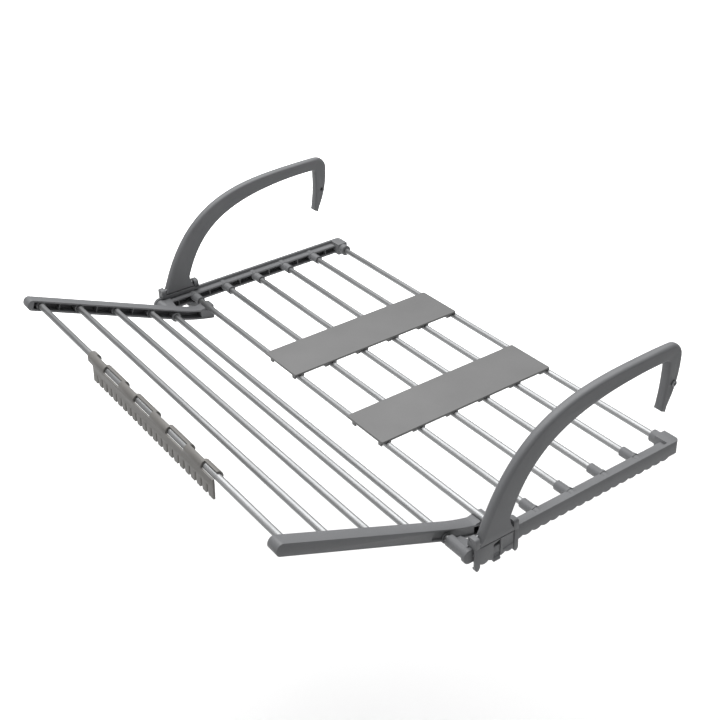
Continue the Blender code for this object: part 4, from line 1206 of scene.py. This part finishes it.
class RACK_OT_stage(bpy.types.Operator):
    """Lay a plain pale floor and set up soft studio light and the camera"""
    bl_idname = "rack.stage"
    bl_label = "Studio stage"

    def execute(self, context):
        bpy.ops.object.select_all(action="DESELECT")
        width, level = 16.0, -0.62
        bpy.ops.mesh.primitive_plane_add(size=width, location=(0.0, 1.0, level))
        floor = context.object
        floor.name = "studio_floor"
        material, tree, shader = new_material("Matt white studio floor")
        spot = add_node(tree, "ShaderNodeTexCoord")
        drift = add_node(tree, "ShaderNodeTexNoise", {"Scale": 0.8, "Detail": 1.0},
                         {"Vector": spot.outputs["Object"]})
        rough = add_node(tree, "ShaderNodeMapRange", {"To Min": 0.85, "To Max": 0.95},
                         {"Value": drift.outputs["Fac"]})
        tree.links.new(rough.outputs["Result"], shader.inputs["Roughness"])
        shader.inputs["Base Color"].default_value = tuple(context.scene.rack_finishes.floor_white)
        floor.data.materials.append(material)
        world = bpy.data.worlds.new("Studio")
        context.scene.world = world
        world.use_nodes = True
        sky = world.node_tree.nodes["Background"]
        sky.inputs["Color"].default_value = (1.0, 1.0, 1.0, 1.0)
        sky.inputs["Strength"].default_value = 0.26
        soft_light("Overhead soft box", (-0.6, 0.1, 2.6), (0.0, -0.15, 0.0), (3.2, 3.2), 125.0)
        soft_light("Front fill", (-0.9, -3.0, 1.5), (0.0, -0.1, 0.0), (2.0, 1.6), 15.0)
        # this one stands over the rack and faces away from it, so it lights only the floor behind
        soft_light("Backdrop light", (-1.2, 1.0, 2.2), (-6.0, 4.6, -0.2), (2.4, 1.2), 420.0)
        studio_camera()
        context.scene.view_settings.view_transform = "Standard"
        return {"FINISHED"}


# ---------------------------------------------------------------- panel and running

OPERATORS = (RACK_OT_tubes, RACK_OT_side_rails, RACK_OT_carriages, RACK_OT_small_parts, RACK_OT_hook_arms,
             RACK_OT_wing_rails, RACK_OT_sock_comb, RACK_OT_shelf_plates, RACK_OT_stage)


class RACK_PT_panel(bpy.types.Panel):
    """Sizes, finishes and the buttons that make each piece"""
    bl_idname = "RACK_PT_panel"
    bl_label = "Drying rack"
    bl_space_type = "VIEW_3D"
    bl_region_type = "UI"
    bl_category = "Drying rack"

    def draw(self, context):
        layout = self.layout
        for group in (context.scene.rack_sizes, context.scene.rack_finishes):
            column = layout.column()
            for name in group.__annotations__:
                column.prop(group, name)
        for operator in OPERATORS:
            layout.operator(operator.bl_idname)


CLASSES = (RackSizes, RackFinishes) + OPERATORS + (RACK_PT_panel,)


def register():
    for kind in CLASSES:
        bpy.utils.register_class(kind)
    bpy.types.Scene.rack_sizes = bpy.props.PointerProperty(type=RackSizes)
    bpy.types.Scene.rack_finishes = bpy.props.PointerProperty(type=RackFinishes)


def unregister():
    del bpy.types.Scene.rack_finishes
    del bpy.types.Scene.rack_sizes
    for kind in reversed(CLASSES):
        bpy.utils.unregister_class(kind)


def main():
    register()
    bpy.ops.rack.tubes()
    bpy.ops.rack.side_rails()
    bpy.ops.rack.carriages()
    bpy.ops.rack.small_parts()
    bpy.ops.rack.hook_arms()
    bpy.ops.rack.wing_rails()
    bpy.ops.rack.sock_comb()
    bpy.ops.rack.shelf_plates()
    bpy.ops.rack.stage()


if __name__ == "__main__":
    main()
